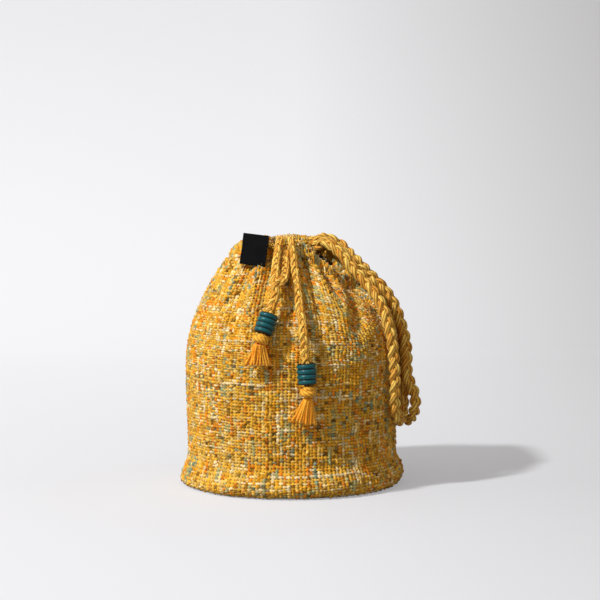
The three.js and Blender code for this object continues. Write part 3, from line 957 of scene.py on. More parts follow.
@dataclass
class TweedPanel:
    """Half of the wall: one cut of tweed from the base seam up, over the hem and down into the mouth."""

    form: BagForm
    weave: Weave
    side: PanelSide
    creases: tuple[Crease, ...]
    columns: int = 84
    body_rows: int = 45
    shoulder_rows: int = 44
    hem_rows: int = 15
    hem_turns: float = 267.0  # degrees that the cloth runs round the hem's section
    seam_dip: float = 1.6
    seam_reach: float = 2.2
    seam_calm: float = 25.0  # millimetres beside a side seam in which the cloth's sway dies out
    base_calm: float = 6.0  # weft yarns above the base in which it dies out
    sway: tuple = ((1.0, 42), (0.5, 18))  # swells of the cloth, in millimetres and mesh points
    edge_calm: float = 1.5  # weft yarns at the cut edges in which the relief dies out
    ground_gap: float = 0.3  # least height of the inner face
    measured: int = 2000  # points on which the belly's girth is measured
    flat: tuple[float, float] = (285.0, 265.0)  # the cut before it was sewn and gathered

    def rows(self) -> int:
        """Counts the weft yarns of the panel."""
        return self.body_rows + self.shoulder_rows + self.hem_rows

    def smooth_points(self, rng: np.random.Generator) -> np.ndarray:
        """Lays out the cloth without its yarns.

        Args:
            rng: The seeded source of chance.

        Returns:
            Points, columns by rows by 3, in millimetres.
        """
        form, samples = self.form, self.weave.samples
        _, first, last, _ = self.side.value
        fine = np.linspace(first, last, self.measured)
        girth = run_along(form.body(fine, np.array(form.belly_height)))
        share = np.interp(np.linspace(0, girth[-1], self.columns * samples + 1), girth, fine)[:, None]
        row = np.arange(self.rows() * samples + 1)[None, :] / samples
        low = row[:, row[0] < self.body_rows] / self.body_rows
        upper = (row[:, row[0] >= self.body_rows] - self.body_rows) / self.shoulder_rows
        turn_rate = self.hem_turns * self.shoulder_rows / self.hem_rows
        points = np.concatenate([
            form.body(share, form.wall_height(share, low)),
            form.shoulder(share, upper[:, upper[0] < 1], form.seam_turn),
            form.hem(share, form.seam_turn + (upper[:, upper[0] >= 1] - 1) * turn_rate),
        ], axis=1)
        columns, rows = points.shape[:2]
        seam = from_ends(columns)[:, None] / samples * self.weave.pitch
        calm = ease(seam / self.seam_calm) * ease(row / self.base_calm)
        dent = self.seam_dip * bell(seam, self.seam_reach) - soft_field(rng, columns, rows, self.sway) * calm
        for crease in self.creases:
            dent = dent + self.crease_depth(crease, np.arange(columns)[:, None] / samples, row)
        points = points - self.normals(points) * dent[..., None]
        return form.slit_opened(points) if self.side is PanelSide.FRONT else points

    def crease_depth(self, crease: Crease, column: np.ndarray, row: np.ndarray) -> np.ndarray:
        """Finds how deep a crease is at each point.

        Args:
            crease: The crease.
            column: Places across, in warp yarns.
            row: Places up, in weft yarns.

        Returns:
            Depths in millimetres.
        """
        scale = np.array([self.weave.pitch, self.weave.pick])
        start, end = np.array(crease.start) * scale, np.array(crease.end) * scale
        run = end - start
        length = float(np.hypot(*run))
        x, y = column * scale[0] - start[0], row * scale[1] - start[1]
        along = (x * run[0] + y * run[1]) / length ** 2
        aside = (x * run[1] - y * run[0]) / length
        fade = np.where((along > 0) & (along < 1), np.sin(math.pi * np.clip(along, 0, 1)) ** 2, 0)
        return crease.depth * fade * bell(aside, crease.width)

    @staticmethod
    def normals(points: np.ndarray) -> np.ndarray:
        """Finds which way the cloth faces at each point, outwards."""
        across, up = np.gradient(points, axis=0), np.gradient(points, axis=1)
        return unit(np.cross(across, up))

    def dyed(self, rng: np.random.Generator, size: tuple[int, int], mix: dict[Yarn, float],
             run: float) -> np.ndarray:
        """Dyes a set of yarns in short runs of colour.

        Args:
            rng: The seeded source of chance.
            size: How many yarns, and how many crossings along each.
            mix: The yarns' dyes.
            run: Usual length of a run, in crossings.

        Returns:
            Linear colours, yarns by crossings by 3.
        """
        table, shares = dye_table(mix)
        chosen = np.zeros(size, int)
        for yarn in chosen:
            main = rng.choice(len(shares), p=shares)
            at = 0
            while at < len(yarn):
                step = 1 + int(rng.exponential(run))
                keeps = rng.random() < self.weave.main_dye
                yarn[at:at + step] = main if keeps else rng.choice(len(shares), p=shares)
                at += step
        return table[chosen][..., :3] * rng.uniform(*self.weave.fading, (*size, 1))

    def yarns(self, rng: np.random.Generator) -> tuple[list[np.ndarray], list[np.ndarray]]:
        """Spins and dyes the panel's yarns, with their slubs and with small holes between them, whose dye is
        darkened as painted shade.

        Args:
            rng: The seeded source of chance.

        Returns:
            The dyes, with painted shade in the holes, and the lifts of the warp and of the weft, yarns by
            crossings.
        """
        weave, counts = self.weave, (self.columns, self.rows())
        sizes = (counts, counts[::-1])
        dyes = [self.dyed(rng, size, mix, run) for size, mix, run in zip(
            sizes, (WARP_MIX, WEFT_MIX), (weave.warp_run, weave.weft_run))]
        lifts = [rng.normal(*lift, (size[0], 1)) + rng.normal(0, weave.crossing_lift, size)
                 for size, lift in zip(sizes, (weave.warp_lift, weave.weft_lift))]
        cream = np.array(linear(Yarn.CREAM.value)[:3])
        for _ in range(weave.slubs):
            # A slub covers most of the warp that it crosses.
            at = rng.integers(weave.slub_free[0], self.rows() - weave.slub_free[1])
            start = rng.integers(0, self.columns - weave.slub_run[1])
            stretch = np.arange(start, start + rng.integers(*weave.slub_run))
            lifts[1][at, stretch] += rng.uniform(*weave.slub_lift, len(stretch))
            dyes[1][at, stretch] = cream * rng.uniform(*weave.slub_fading, (len(stretch), 1))
        # Where both yarns sink into a hole, the dye is darkened: painted shade.
        sunk = rng.random(counts) < weave.holes
        for lift, dye in ((lifts[0], dyes[0]), (lifts[1].T, dyes[1].swapaxes(0, 1))):
            lift[sunk] -= weave.hole_drop
            dye[sunk] *= weave.hole_shade
        return dyes, lifts

    def build(self, material: bpy.types.Material) -> None:
        """Args:
            material: The tweed.
        """
        name, _, _, seed = self.side.value
        rng = np.random.default_rng(seed)
        weave, samples = self.weave, self.weave.samples
        smooth = self.smooth_points(rng)
        columns, rows = smooth.shape[:2]
        x = (np.arange(columns)[:, None] + 0.5) / samples + soft_field(rng, columns, rows, weave.warp_stray)
        y = (np.arange(rows)[None, :] + 0.5) / samples + soft_field(rng, columns, rows, weave.weft_stray)
        warp, weft = (np.clip(place, 0, count - 1e-6).astype(int)
                      for place, count in ((x, self.columns), (y, self.rows())))
        dyes, lifts = self.yarns(rng)
        warp_proud, weft_proud = lifts[0][warp, weft], lifts[1][weft, warp]

        height = weave.height(x, y, warp_proud, weft_proud)
        edge = from_ends(rows)[None, :] / samples
        facing = self.normals(smooth)
        outer = smooth + facing * (height * ease(edge / self.edge_calm))[..., None]
        outer[..., 2] = np.maximum(outer[..., 2], 0.0)
        inner = smooth - facing * self.form.cloth
        inner[..., 2] = np.maximum(inner[..., 2], self.ground_gap)

        def on_both(values: np.ndarray, inside: np.ndarray) -> np.ndarray:
            """Lists values for the fine outer and then the coarse inner points, row by row.

            Args:
                values: Values of the outer points, columns by rows by any number.
                inside: Values of the inner points before they are thinned out.

            Returns:
                One row of values for each point of the shell.
            """
            faces = (values, inside[::samples, ::samples])
            return np.concatenate(
                [face.swapaxes(0, 1).reshape(-1, face.shape[2]) for face in faces]).astype(np.float32)

        mesh = self.shell(name, columns, rows)
        mesh.vertices.foreach_set("co", on_both(outer * MM, inner * MM).ravel())
        corner = np.empty(len(mesh.loops), np.int32)
        mesh.loops.foreach_get("vertex_index", corner)
        counts = np.stack([x, y], axis=-1)
        mesh.uv_layers.new(name="weave").uv.foreach_set("vector", on_both(counts, counts)[corner].ravel())
        lift = (warp_proud - weft_proud)[..., None]
        mesh.attributes.new("lift", "FLOAT", "POINT").data.foreach_set("value", on_both(lift, lift).ravel())
        for dye_name, dye in (("warp_dye", dyes[0][warp, weft]), ("weft_dye", dyes[1][weft, warp])):
            colours = np.concatenate([dye, np.ones((columns, rows, 1))], axis=-1)
            mesh.color_attributes.new(dye_name, "FLOAT_COLOR", "POINT").data.foreach_set(
                "color", on_both(colours, colours).ravel())
        mesh.update()
        piece = place_piece(f"tweed_{name}", mesh, material, node=name)

    def shell(self, name: str, columns: int, rows: int) -> bpy.types.Mesh:
        """Makes the panel's closed mesh, still flat: a fine outer face joined to a coarse inner one.

        Args:
            name: The mesh's name.
            columns: Points across the outer face.
            rows: Points up the outer face.

        Returns:
            The mesh, with the outer points first.
        """
        bm = bmesh.new()
        bmesh.ops.create_grid(bm, x_segments=columns - 1, y_segments=rows - 1, size=0.5)
        back = bmesh.ops.create_grid(bm, x_segments=self.columns, y_segments=self.rows(), size=0.5)["verts"]
        bmesh.ops.translate(bm, vec=(0.0, 0.0, -0.1), verts=back)
        bmesh.ops.bridge_loops(bm, edges=[edge for edge in bm.edges if edge.is_boundary])
        return made_mesh(bm, name)


@dataclass(frozen=True)
class PlaitStyle:
    """How a cord is plaited from three strands, in millimetres."""

    width: float
    depth: float
    strand: float
    lay: float  # length in which a strand goes over and back
    plies: int
    twist: float  # length in which a ply goes once round its strand
    facing: tuple[float, float, float]  # the way that the flat of the plait looks
    step: float = 1.1  # between the rings of a strand


@dataclass
class PlaitedCord:
    """A three-strand plait along a route."""

    name: str
    node: str
    style: PlaitStyle
    route: tuple
    length: float  # millimetres
    far_end: FarEnd
    drawn_in: float = 1.0  # share of the width left where the cord starts
    drawn_run: float = 60.0  # millimetres in which it comes to its full width

    def path(self) -> np.ndarray:
        """Lays evenly spaced points along the route."""
        return SmoothLine(self.route).spaced(self.style.step)

    def build(self, material: bpy.types.Material) -> bpy.types.Object:
        """Plaits the cord.

        Args:
            material: Its yarn.

        Returns:
            The piece.
        """
        style, path = self.style, self.path()
        along = unit(np.gradient(path, axis=0))
        side = unit(np.cross(along, np.array(style.facing)))
        face = np.cross(side, along)
        run = run_along(path)
        spread = (self.drawn_in + (1 - self.drawn_in) * ease(run / self.drawn_run))[:, None]
        radius = style.strand / 2 * round_ends(len(path), 3) * (0.5 + 0.5 * spread[:, 0])
        tubes = TubeMesh()
        for strand, tint in enumerate((0.2, 0.5, 0.8)):
            phase = (TURN * (run / style.lay + strand / 3))[:, None]
            middle = (path + side * np.sin(phase) * spread * (style.width - style.strand) / 2
                      + face * np.sin(2 * phase) * (style.depth - style.strand) / 2)
            tubes.add(tube_rings(middle, radius, 3 * style.plies, face, style.plies, style.twist), tint)
        return place_piece(self.name, made_mesh(tubes.bm, self.name), material, node=self.node)

    def declare(self, piece: bpy.types.Object, with_pieces: list[bpy.types.Object]) -> None:
        """Takes the finished cord and the pieces on it, and does nothing with them.

        Args:
            piece: The finished cord; not used.
            with_pieces: Pieces that go where it goes; not used.
        """


@dataclass
class DrawstringEnd:
    """What hangs on an end of the drawstring: a sliding bead, the knot that stops it and the tassel."""

    side: str
    body: Body
    cord: PlaitedCord
    tassel_foot: tuple[float, float, float]
    seed: int
    loops: int  # threads of the tassel that were never cut
    waist: float  # half the width of the tassel under the knot
    clearance: float = 0.3
    cord_bore: float = 7.9
    bead_diameter: float = 16.0
    bead_length: float = 17.0
    bead_ribs: int = 4
    bead_groove: float = 1.4
    bead_edge: float = 0.6  # slant where the bore meets an end
    bead_barrel: float = 0.5  # how much the bead narrows towards its ends
    rib_power: float = 0.55  # less than 1 makes the ribs fuller
    rib_steps: int = 12
    bead_steps: int = 72
    knot_diameter: float = 14.0
    knot_length: float = 9.0
    knot_plies: int = 5
    core: float = 1.9  # half the thickness of a strand inside the knot
    core_twist: float = 9.0
    core_rings: int = 18
    core_start: float = 0.6  # below the knot's top
    core_spare: float = 0.8  # how much shorter than the knot those strands are
    bundle: float = 2.6  # half the thickness of the cord wrapped round them
    bundle_twist: float = 12.0
    wraps: float = 1.85  # turns
    wrap_start: float = 0.1  # turns
    wrap_waver: float = 0.9  # how far the wrapped cord rises and falls on its way round
    wrap_phase: float = 0.6  # radians by which that rise runs ahead
    wrap_spare: float = 0.1  # how far inside the knot's diameter it stays
    wrap_rings: int = 64
    tassel_width: float = 24.0
    tassel_thickness: float = 10.0
    tassel_yarns: int = 46
    tassel_sink: float = 0.5  # how far the yarns start inside the knot
    yarn: float = 1.6
    yarn_lengths: tuple[float, float] = (0.9, 1.0)
    yarn_spreads: tuple[float, float] = (0.85, 1.0)
    yarn_belly: float = 0.55  # share of its spread that a yarn has halfway down
    belly_stray: float = 0.6
    belly_fill: float = 0.6
    foot_stray: float = 0.5
    yarn_curl: float = 0.35
    yarn_tints: tuple[float, float] = (0.1, 0.9)
    yarn_rings: int = 12
    thread: float = 0.42  # half the thickness of a thread that was never cut

    def axes(self) -> tuple[np.ndarray, np.ndarray, np.ndarray, np.ndarray]:
        """Finds where the cord ends and how it lies there.

        Returns:
            The end, and the directions down the cord, to its side and towards the viewer.
        """
        end, before = np.array(self.cord.route[-1], float), np.array(self.cord.route[-2], float)
        down = unit(end - before)
        side = unit(np.cross(down, FRONT_WAY))
        return end, down, side, np.cross(side, down)

    def bead(self, material: bpy.types.Material) -> bpy.types.Object:
        """Turns the bead: a ribbed barrel with an open bore.

        Args:
            material: The lacquer.

        Returns:
            The piece.
        """
        end, down, side, _ = self.axes()
        bore, crest, slant = self.cord_bore / 2, self.bead_diameter / 2, self.bead_edge
        profile = [(bore, slant), (bore + slant, 0.0)]
        for share in np.linspace(0, 1, self.rib_steps * self.bead_ribs + 1):
            hump = abs(math.sin(math.pi * self.bead_ribs * share)) ** self.rib_power
            barrel = self.bead_barrel * (2 * share - 1) ** 2
            profile.append((crest - barrel - self.bead_groove * (1 - hump), self.bead_length * share))
        profile += [(bore + slant, self.bead_length), (bore, self.bead_length - slant)]
        bm = bmesh.new()
        depth = bm.verts.layers.float.new("groove")
        ring = [bm.verts.new((end + side * reach - down * rise) * MM) for reach, rise in profile]
        edges = [bm.edges.new((ring[k - 1], ring[k])) for k in range(len(ring))]
        bmesh.ops.spin(bm, geom=ring + edges, cent=end * MM, axis=-down, dvec=(0, 0, 0), angle=TURN,
                       steps=self.bead_steps, use_merge=True)
        bmesh.ops.remove_doubles(bm, verts=bm.verts, dist=WELD)
        for vertex in bm.verts:
            away = np.array(vertex.co) / MM - end
            reach = float(np.linalg.norm(away - down * (away @ down)))
            vertex[depth] = min(1.0, max(0.0, (crest - reach) / self.bead_groove))
        name = f"{self.side}_bead"
        return place_piece(f"lacquered_{name}", made_mesh(bm, name), material, self.body, name)

    def knot(self, material: bpy.types.Material) -> bpy.types.Object:
        """Ties the knot: a core of strands with a loop drawn tight round it.

        Args:
            material: The cord's yarn.

        Returns:
            The piece.
        """
        end, down, side, front = self.axes()
        top = end + down * self.clearance
        plies, bundle = self.knot_plies, self.bundle
        tubes = TubeMesh()
        share = np.linspace(0, 1, self.core_rings)[:, None]
        for strand in range(3):
            fall = self.core_start + (self.knot_length - self.core_spare) * share
            core = top + down * fall + self.core * turned(side, front, TURN * (0.5 * share + strand / 3))
            radius = self.core * round_ends(self.core_rings, 3)
            tubes.add(tube_rings(core, radius, 3 * plies, front, plies, self.core_twist), tint=0.4)
        share = np.linspace(0, 1, self.wrap_rings)[:, None]
        angle = TURN * (self.wraps * share + self.wrap_start)
        swell = np.sin(math.pi * share)
        reach = (self.knot_diameter / 2 - bundle - self.wrap_spare) * (0.8 + 0.2 * swell)
        fall = bundle + (self.knot_length - 2 * bundle) * share
        waver = self.wrap_waver * np.sin(angle + self.wrap_phase) * swell
        wrap = top + down * (fall + waver) + reach * turned(side, front, angle)
        radius = bundle * round_ends(self.wrap_rings, 5)
        tubes.add(tube_rings(wrap, radius, 4 * plies, down, plies, self.bundle_twist), tint=0.6)
        name = f"{self.side}_knot"
        return place_piece(f"tied_{name}", made_mesh(tubes.bm, name), material, node=name)

    def tassel(self, material: bpy.types.Material) -> bpy.types.Object:
        """Spreads the tassel's cut yarns, with a few that are still looped.

        Args:
            material: The tassel's yarn.

        Returns:
            The piece.
        """
        end, down, _, _ = self.axes()
        neck = end + down * (self.clearance + self.knot_length - self.tassel_sink)
        fall = np.array(self.tassel_foot) - neck
        length = float(np.linalg.norm(fall))
        axis = fall / length
        side = unit(np.cross(axis, FRONT_WAY))
        front = np.cross(side, axis)
        sizes = (self.tassel_width, self.tassel_thickness)
        half_width, half_depth = ((size - self.yarn) / 2 for size in sizes)
        rng = np.random.default_rng(self.seed)
        share = np.linspace(0, 1, self.yarn_rings)[:, None]
        radius = self.yarn / 2 * round_ends(self.yarn_rings, 1)
        tubes = TubeMesh()
        for k in range(self.tassel_yarns):
            angle = GOLDEN_ANGLE * k
            out = math.sqrt((k + 0.5) / self.tassel_yarns)
            spot = turned(side, front, angle)
            spread = turned(side * half_width, front * half_depth, angle) * out
            reach = length * rng.uniform(*self.yarn_lengths)
            foot = neck + axis * reach + spread * rng.uniform(*self.yarn_spreads)
            foot = foot + side * rng.normal(0, self.foot_stray)
            belly = spread * self.yarn_belly + side * rng.normal(0, self.belly_stray) + spot * self.belly_fill
            path = bowed(neck + spot * self.waist * out, neck + axis * reach / 2 + belly, foot, share)
            curl = self.yarn_curl * rng.normal() * np.sin(TURN * share + rng.uniform(0, TURN)) * share
            tubes.add(tube_rings(path + side * curl, radius, 6, front), rng.uniform(*self.yarn_tints))
        for k in range(self.loops):
            # A thread that was never cut goes out and comes back, each one a little nearer the middle.
            tip = neck + axis * length * (0.8 + 0.1 * k) + side * (self.tassel_width / 2 - 0.8 * k)
            back = neck + axis * length * (0.95 - 0.05 * k) + side * self.tassel_width * 0.2
            bow = SmoothLine([neck + side * 2, neck + axis * length * 0.4 + side * (6.2 - k), tip,
                              back + side * 2.2 + axis * 0.5, back]).spaced(1.2)
            tubes.add(tube_rings(bow, self.thread, 6, front), tint=0.85)
        name = f"{self.side}_tassel"
        return place_piece(f"yarn_{name}", made_mesh(tubes.bm, name), material, node=name)


@dataclass
class Lining:
    """The lining's wall: a ring of thin cotton inside the tweed and up over the hem."""

    form: BagForm
    columns: int = 216
    wall_rows: int = 16
    shoulder_rows: int = 15
    hem_rows: int = 14
    hem_start: float = 235.0  # degrees round the hem's section where the lining comes to it
    front_edge: float = 100.0  # degrees where it ends at the front
    back_edge: float = 190.0
    front_reach: float = 0.12  # share round from the front where the edge starts to change
    edge_run: float = 0.1
    slack: float = 12.0  # how far the lining hangs in from the wall between its seams
    slack_run: float = 25.0  # millimetres above the base seam where the slack is full
    slack_top: float = 0.6  # share of the shoulder where it starts to end
    flat: tuple[float, float] = (540.0, 215.0)

    def wall(self, material: bpy.types.Material) -> None:
        """Sews the ring.

        Args:
            material: The cotton.
        """
        form = self.form
        share = np.linspace(0, 1, self.columns + 1)[:, None]
        foot = form.cloth + form.lining + 2 * form.clearance
        height = np.linspace(foot, form.belly_height, self.wall_rows)[None, :]
        rise = np.linspace(0, 1, self.shoulder_rows)[None, 1:-1]
        from_front = 0.5 - np.abs(share - 0.5)
        edge = ease((from_front - self.front_reach) / self.edge_run)
        edge = self.front_edge + (self.back_edge - self.front_edge) * edge
        turn = self.hem_start - (self.hem_start - edge) * np.linspace(0, 1, self.hem_rows)[None, :]
        low_slack = self.slack * ease((height - foot) / self.slack_run)
        high_slack = self.slack * (1 - ease((rise - self.slack_top) / (1 - self.slack_top)))

        def skin(inset: float, grow: float) -> np.ndarray:
            """Lays one face of the ring from its foot to its top edge.

            Args:
                inset: How far in from the bag's form it lies.
                grow: How far outside the hem's section it lies.

            Returns:
                Points, round the ring by rows by 3.
            """
            low = form.moved_in(form.body(share, height), inset + low_slack)
            middle = form.moved_in(form.shoulder(share, rise, form.hem_foot_turn), inset + high_slack)
            return form.slit_opened(np.concatenate([low, middle, form.hem(share, turn, grow)], axis=1))

        outset = form.cloth + form.clearance
        outer = skin(outset, form.clearance)
        inner = skin(outset + form.lining, form.clearance + form.lining)
        points = np.concatenate([outer, inner[:, ::-1], outer[:, :1]], axis=1)
        bm = bmesh.new()
        uv = bm.loops.layers.uv.new("cloth")
        lay_grid(bm, points.transpose(1, 0, 2), uv, (self.flat[0], 2 * self.flat[1]))
        bmesh.ops.remove_doubles(bm, verts=bm.verts, dist=WELD)
        piece = place_piece(
            "cotton_lining_wall", made_mesh(bm, "lining_wall"), material, node="lining_wall")


@dataclass
class OvalPanel:
    """A flat oval of cloth at the bottom of the bag."""

    name: str
    node: str
    slot: Slot
    pitch: tuple[float, float]  # millimetres between mesh points
    relief: float = 0.0  # share of the tweed's relief on the under side
    crest: float = 1.4  # height of the weave that lies on the ground
    lift: float = 0.15
    seed: int = 5

    def build(self, material: bpy.types.Material, weave: Weave) -> None:
        """Cuts the oval to its solid's outline and thickness.

        Args:
            material: The cloth.
            weave: The tweed's yarns.
        """
        low, high = (np.array(corner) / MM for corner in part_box(self.node))
        size, middle = (high - low) / 2, (high + low) / 2
        segments = [int(2 * size[k] / self.pitch[k]) for k in range(2)]
        bm = bmesh.new()
        bmesh.ops.create_grid(bm, x_segments=segments[0], y_segments=segments[1], size=1.0)
        for vertex in bm.verts:
            x, y = vertex.co.x, vertex.co.y
            vertex.co.x = x * math.sqrt(1 - y * y / 2) * size[0]
            vertex.co.y = y * math.sqrt(1 - x * x / 2) * size[1]
        skin = bmesh.ops.extrude_face_region(bm, geom=bm.faces[:])
        top = [item for item in skin["geom"] if isinstance(item, bmesh.types.BMVert)]
        bmesh.ops.translate(bm, vec=(0.0, 0.0, 2 * size[2]), verts=top)
        rng = np.random.default_rng(self.seed)
        dyes = [bm.verts.layers.float_color.new(name) for name in ("warp_dye", "weft_dye")]
        lift = bm.verts.layers.float.new("lift")
        tables = [dye_table(mix) for mix in (WARP_MIX, WEFT_MIX)]
        for vertex in bm.verts:
            for dye, (table, shares) in zip(dyes, tables):
                vertex[dye] = table[rng.choice(len(shares), p=shares)]
            vertex[lift] = rng.normal(0, self.lift)
            if vertex.co.z < size[2]:
                x, y = np.array(vertex.co.x / weave.pitch), np.array(vertex.co.y / weave.pick)
                vertex.co.z += self.relief * (self.crest - float(weave.height(x, y, 0.0, 0.0)))
        woven = self.slot is Slot.TWEED
        uv = bm.loops.layers.uv.new("weave" if woven else "cloth")
        across, up = (weave.pitch, weave.pick) if woven else (1.0, 1.0)
        for loop in (loop for face in bm.faces for loop in face.loops):
            loop[uv].uv = (loop.vert.co.x / across, loop.vert.co.y / up)
        bmesh.ops.scale(bm, vec=(MM, MM, MM), verts=bm.verts)
        bmesh.ops.translate(bm, vec=Vector((middle[0], middle[1], low[2])) * MM, verts=bm.verts)
        piece = place_piece(self.name, made_mesh(bm, self.name), material, node=self.node)


@dataclass
class Label:
    """A bare black woven label, sewn on the hem along its two sides."""

    form: BagForm
    place: float = 0.901
    width: float = 23.0
    height: float = 25.0
    thickness: float = 0.7
    turn: float = -5.5
    lean: float = 6.0
    bow: float = 0.3  # how far its middle stands out past its sides
    ripple: float = 0.15
    stand_out: float = 0.8
    segments: tuple[int, int] = (46, 50)
    stitches: int = 8  # on each side
    stitch: float = 0.07  # its length as a share of the label's height
    stitch_thread: float = 0.22  # half the thickness of the thread
    stitch_place: float = 0.465  # share of the width from the middle
    stitch_out: float = 1.05
    stitch_bow: float = 0.35

    def build(self, material: bpy.types.Material, thread: bpy.types.Material) -> None:
        """Weaves the label, bowed a little, and sews it on.

        Args:
            material: The satin.
            thread: The sewing thread.
        """
        low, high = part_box("label")
        middle = np.array((low + high) / 2) / MM
        along = unit(self.form.mouth().direction(np.array(self.place)) * (1, 1, 0))
        lean, turn = math.radians(self.lean), math.radians(self.turn)
        upright = np.array([0, 0, 1]) * math.cos(lean) + np.cross((0, 0, 1), along) * math.sin(lean)
        out = np.cross(along, upright)
        across = self.width * turned(along, upright, turn)
        rise = self.height * turned(upright, -along, turn)

        x, y = (np.linspace(-0.5, 0.5, count + 1) for count in self.segments)
        x, y = x[None, :, None], y[:, None, None]
        swell = self.bow * (1 - 4 * x * x) + self.ripple * np.sin(9 * y + 3 * x)
        bm = bmesh.new()
        uv = bm.loops.layers.uv.new("cloth")
        points = middle + across * x + rise * y + out * (self.stand_out + swell)
        lay_grid(bm, points, uv, (self.width, self.height))
        bmesh.ops.solidify(bm, geom=bm.faces[:], thickness=self.thickness * MM)
        piece = place_piece("woven_label", made_mesh(bm, "label"), material, node="label")

        tubes = TubeMesh()
        share = np.linspace(0, 1, 6)[:, None]
        bow = out * (self.stitch_out + self.stitch_bow * np.sin(math.pi * share))
        for side in (-self.stitch_place, self.stitch_place):
            for k in range(self.stitches):
                up = (k + 0.5) / self.stitches - 0.5 + self.stitch * (share - 0.5)
                path = middle + across * side + rise * up + bow
                tubes.add(tube_rings(path, self.stitch_thread, 6, across), tint=0.2)
        sewn = place_piece("label_stitches", made_mesh(tubes.bm, "label_stitches"), thread)


@dataclass(frozen=True)
class Studio:
    """The camera, the lamp and a seamless sweep of pale paper, in metres."""

    eye: tuple[float, float, float] = (0.0068, -1.300, 0.270)
    tilt: float = 85.0  # degrees from looking straight down
    lens: float = 91.98  # millimetres
    sensor: float = 36.0  # millimetres
    key_from: tuple[float, float, float] = (-0.572, -0.416, 0.707)
    key_distance: float = 2.6
    key_aim: float = 0.1  # height that it is turned to
    key_size: float = 0.20
    key_power: float = 67.0
    sky: float = 0.32
    sky_lean: float = 0.8  # how much brighter the light side of the room is than its middle
    sky_from: tuple[float, float, float] = (-0.66, -0.66, 0.35)
    sky_light: str = "#FFF5E8"
    sky_shown: str = "#EAEBEE"
    paper_width: float = 9.0
    paper_front: float = 4.0  # length of the floor before the bag
    paper_back: float = 0.9  # and behind it
    paper_bend: float = 0.8  # radius
    paper_wall: float = 1.6

    def camera(self) -> None:
        """Sets the camera where the photograph was taken from."""
        data = bpy.data.cameras.new("camera")
        data.lens = self.lens
        data.sensor_width = self.sensor
        camera = bpy.data.objects.new("camera", data)
        camera.location = self.eye
        camera.rotation_euler = (math.radians(self.tilt), 0.0, 0.0)
        bpy.context.scene.collection.objects.link(camera)
        bpy.context.scene.camera = camera

    def light(self) -> None:
        """Hangs a small round lamp on the left, in a pale room that is brighter on that side."""
        data = bpy.data.lights.new("key", "AREA")
        data.shape = "DISK"
        data.size = self.key_size
        data.energy = self.key_power
        lamp = bpy.data.objects.new("key", data)
        towards = Vector(self.key_from).normalized()
        lamp.location = towards * self.key_distance + Vector((0.0, 0.0, self.key_aim))
        lamp.rotation_euler = towards.to_track_quat("Z", "Y").to_euler()
        lamp.visible_camera = False
        bpy.context.scene.collection.objects.link(lamp)
        world = bpy.data.worlds.new("studio")
        add = fresh_nodes(world)
        side = add(
            "VectorMath", (add("TexCoord")["Generated"], self.sky_from), operation="DOT_PRODUCT")["Value"]
        level = add("Math", (side, self.sky * self.sky_lean, self.sky), operation="MULTIPLY_ADD")[0]
        light = add("Background", (linear(self.sky_light), level))[0]
        shown = add("Background", (linear(self.sky_shown), 1.0))[0]
        add("OutputWorld", (add("MixShader", (seen_rays(add), light, shown))[0],))
        bpy.context.scene.world = world

    def paper(self, material: bpy.types.Material) -> None:
        """Rolls out the paper: a floor that sweeps up behind the bag.

        Args:
            material: The paper's finish.
        """
        bm = bmesh.new()
        bend = self.paper_bend
        curve = bend * math.pi / 2
        length = self.paper_front + self.paper_back + curve + self.paper_wall
        for vertex in bmesh.ops.create_grid(bm, x_segments=8, y_segments=64, size=0.5)["verts"]:
            run = (vertex.co.y + 0.5) * length - self.paper_front
            turn = min(max((run - self.paper_back) / bend, 0.0), math.pi / 2)
            rise = max(run - self.paper_back - curve, 0.0)
            vertex.co = (vertex.co.x * self.paper_width, min(run, self.paper_back) + bend * math.sin(turn),
                         bend * (1 - math.cos(turn)) + rise)
        mesh = made_mesh(bm, "paper")
        mesh.shade_smooth()
        mesh.materials.append(material)
        paper = bpy.data.objects.new("paper", mesh)
        bpy.context.scene.collection.objects.link(paper)


DRAWSTRING = PlaitStyle(
    width=7.7, depth=6.2, strand=3.7, lay=20.0, plies=4, twist=26.0, facing=(0.0, -0.9, 0.45))
CARRY_LOOP = PlaitStyle(
    width=9.8, depth=8.4, strand=4.5, lay=29.0, plies=5, twist=38.0, facing=(0.35, -0.9, 0.25))

LEFT_ROUTE = (
    (-9.5, -30.5, 208.5), (-9.8, -36.5, 209.4), (-10.6, -43, 206.4), (-12, -49.5, 197.2),
    (-12.9, -58.8, 187.8), (-13.1, -67, 177.8), (-12.79, -70.01, 165.85), (-14.38, -71.26, 161.28),
    (-18.5, -74.51, 149.38), (-23.12, -78.15, 136.02),
)
RIGHT_ROUTE = (
    (-1, -30.5, 209), (-0.8, -36.5, 209.9), (-0.2, -43, 206.6), (1.5, -48.2, 196), (2.7, -53.4, 183.8),
    (4.8, -60.7, 169.7), (7.2, -71.3, 153), (9.91, -80.9, 134.93), (10.38, -81.28, 128.46),
    (11.63, -82.27, 111.53), (12.8, -83.2, 95.6),
)
SHORT_ROUTE = (
    (-5.2, -32, 202), (-5.2, -37, 202), (-5.2, -42.2, 199.2), (-5.3, -47.2, 192.6), (-5.4, -53.6, 185.9),
    (-5.8, -60.8, 180.8), (-7.8, -67.4, 177.6), (-11.6, -71.8, 175.6),
)
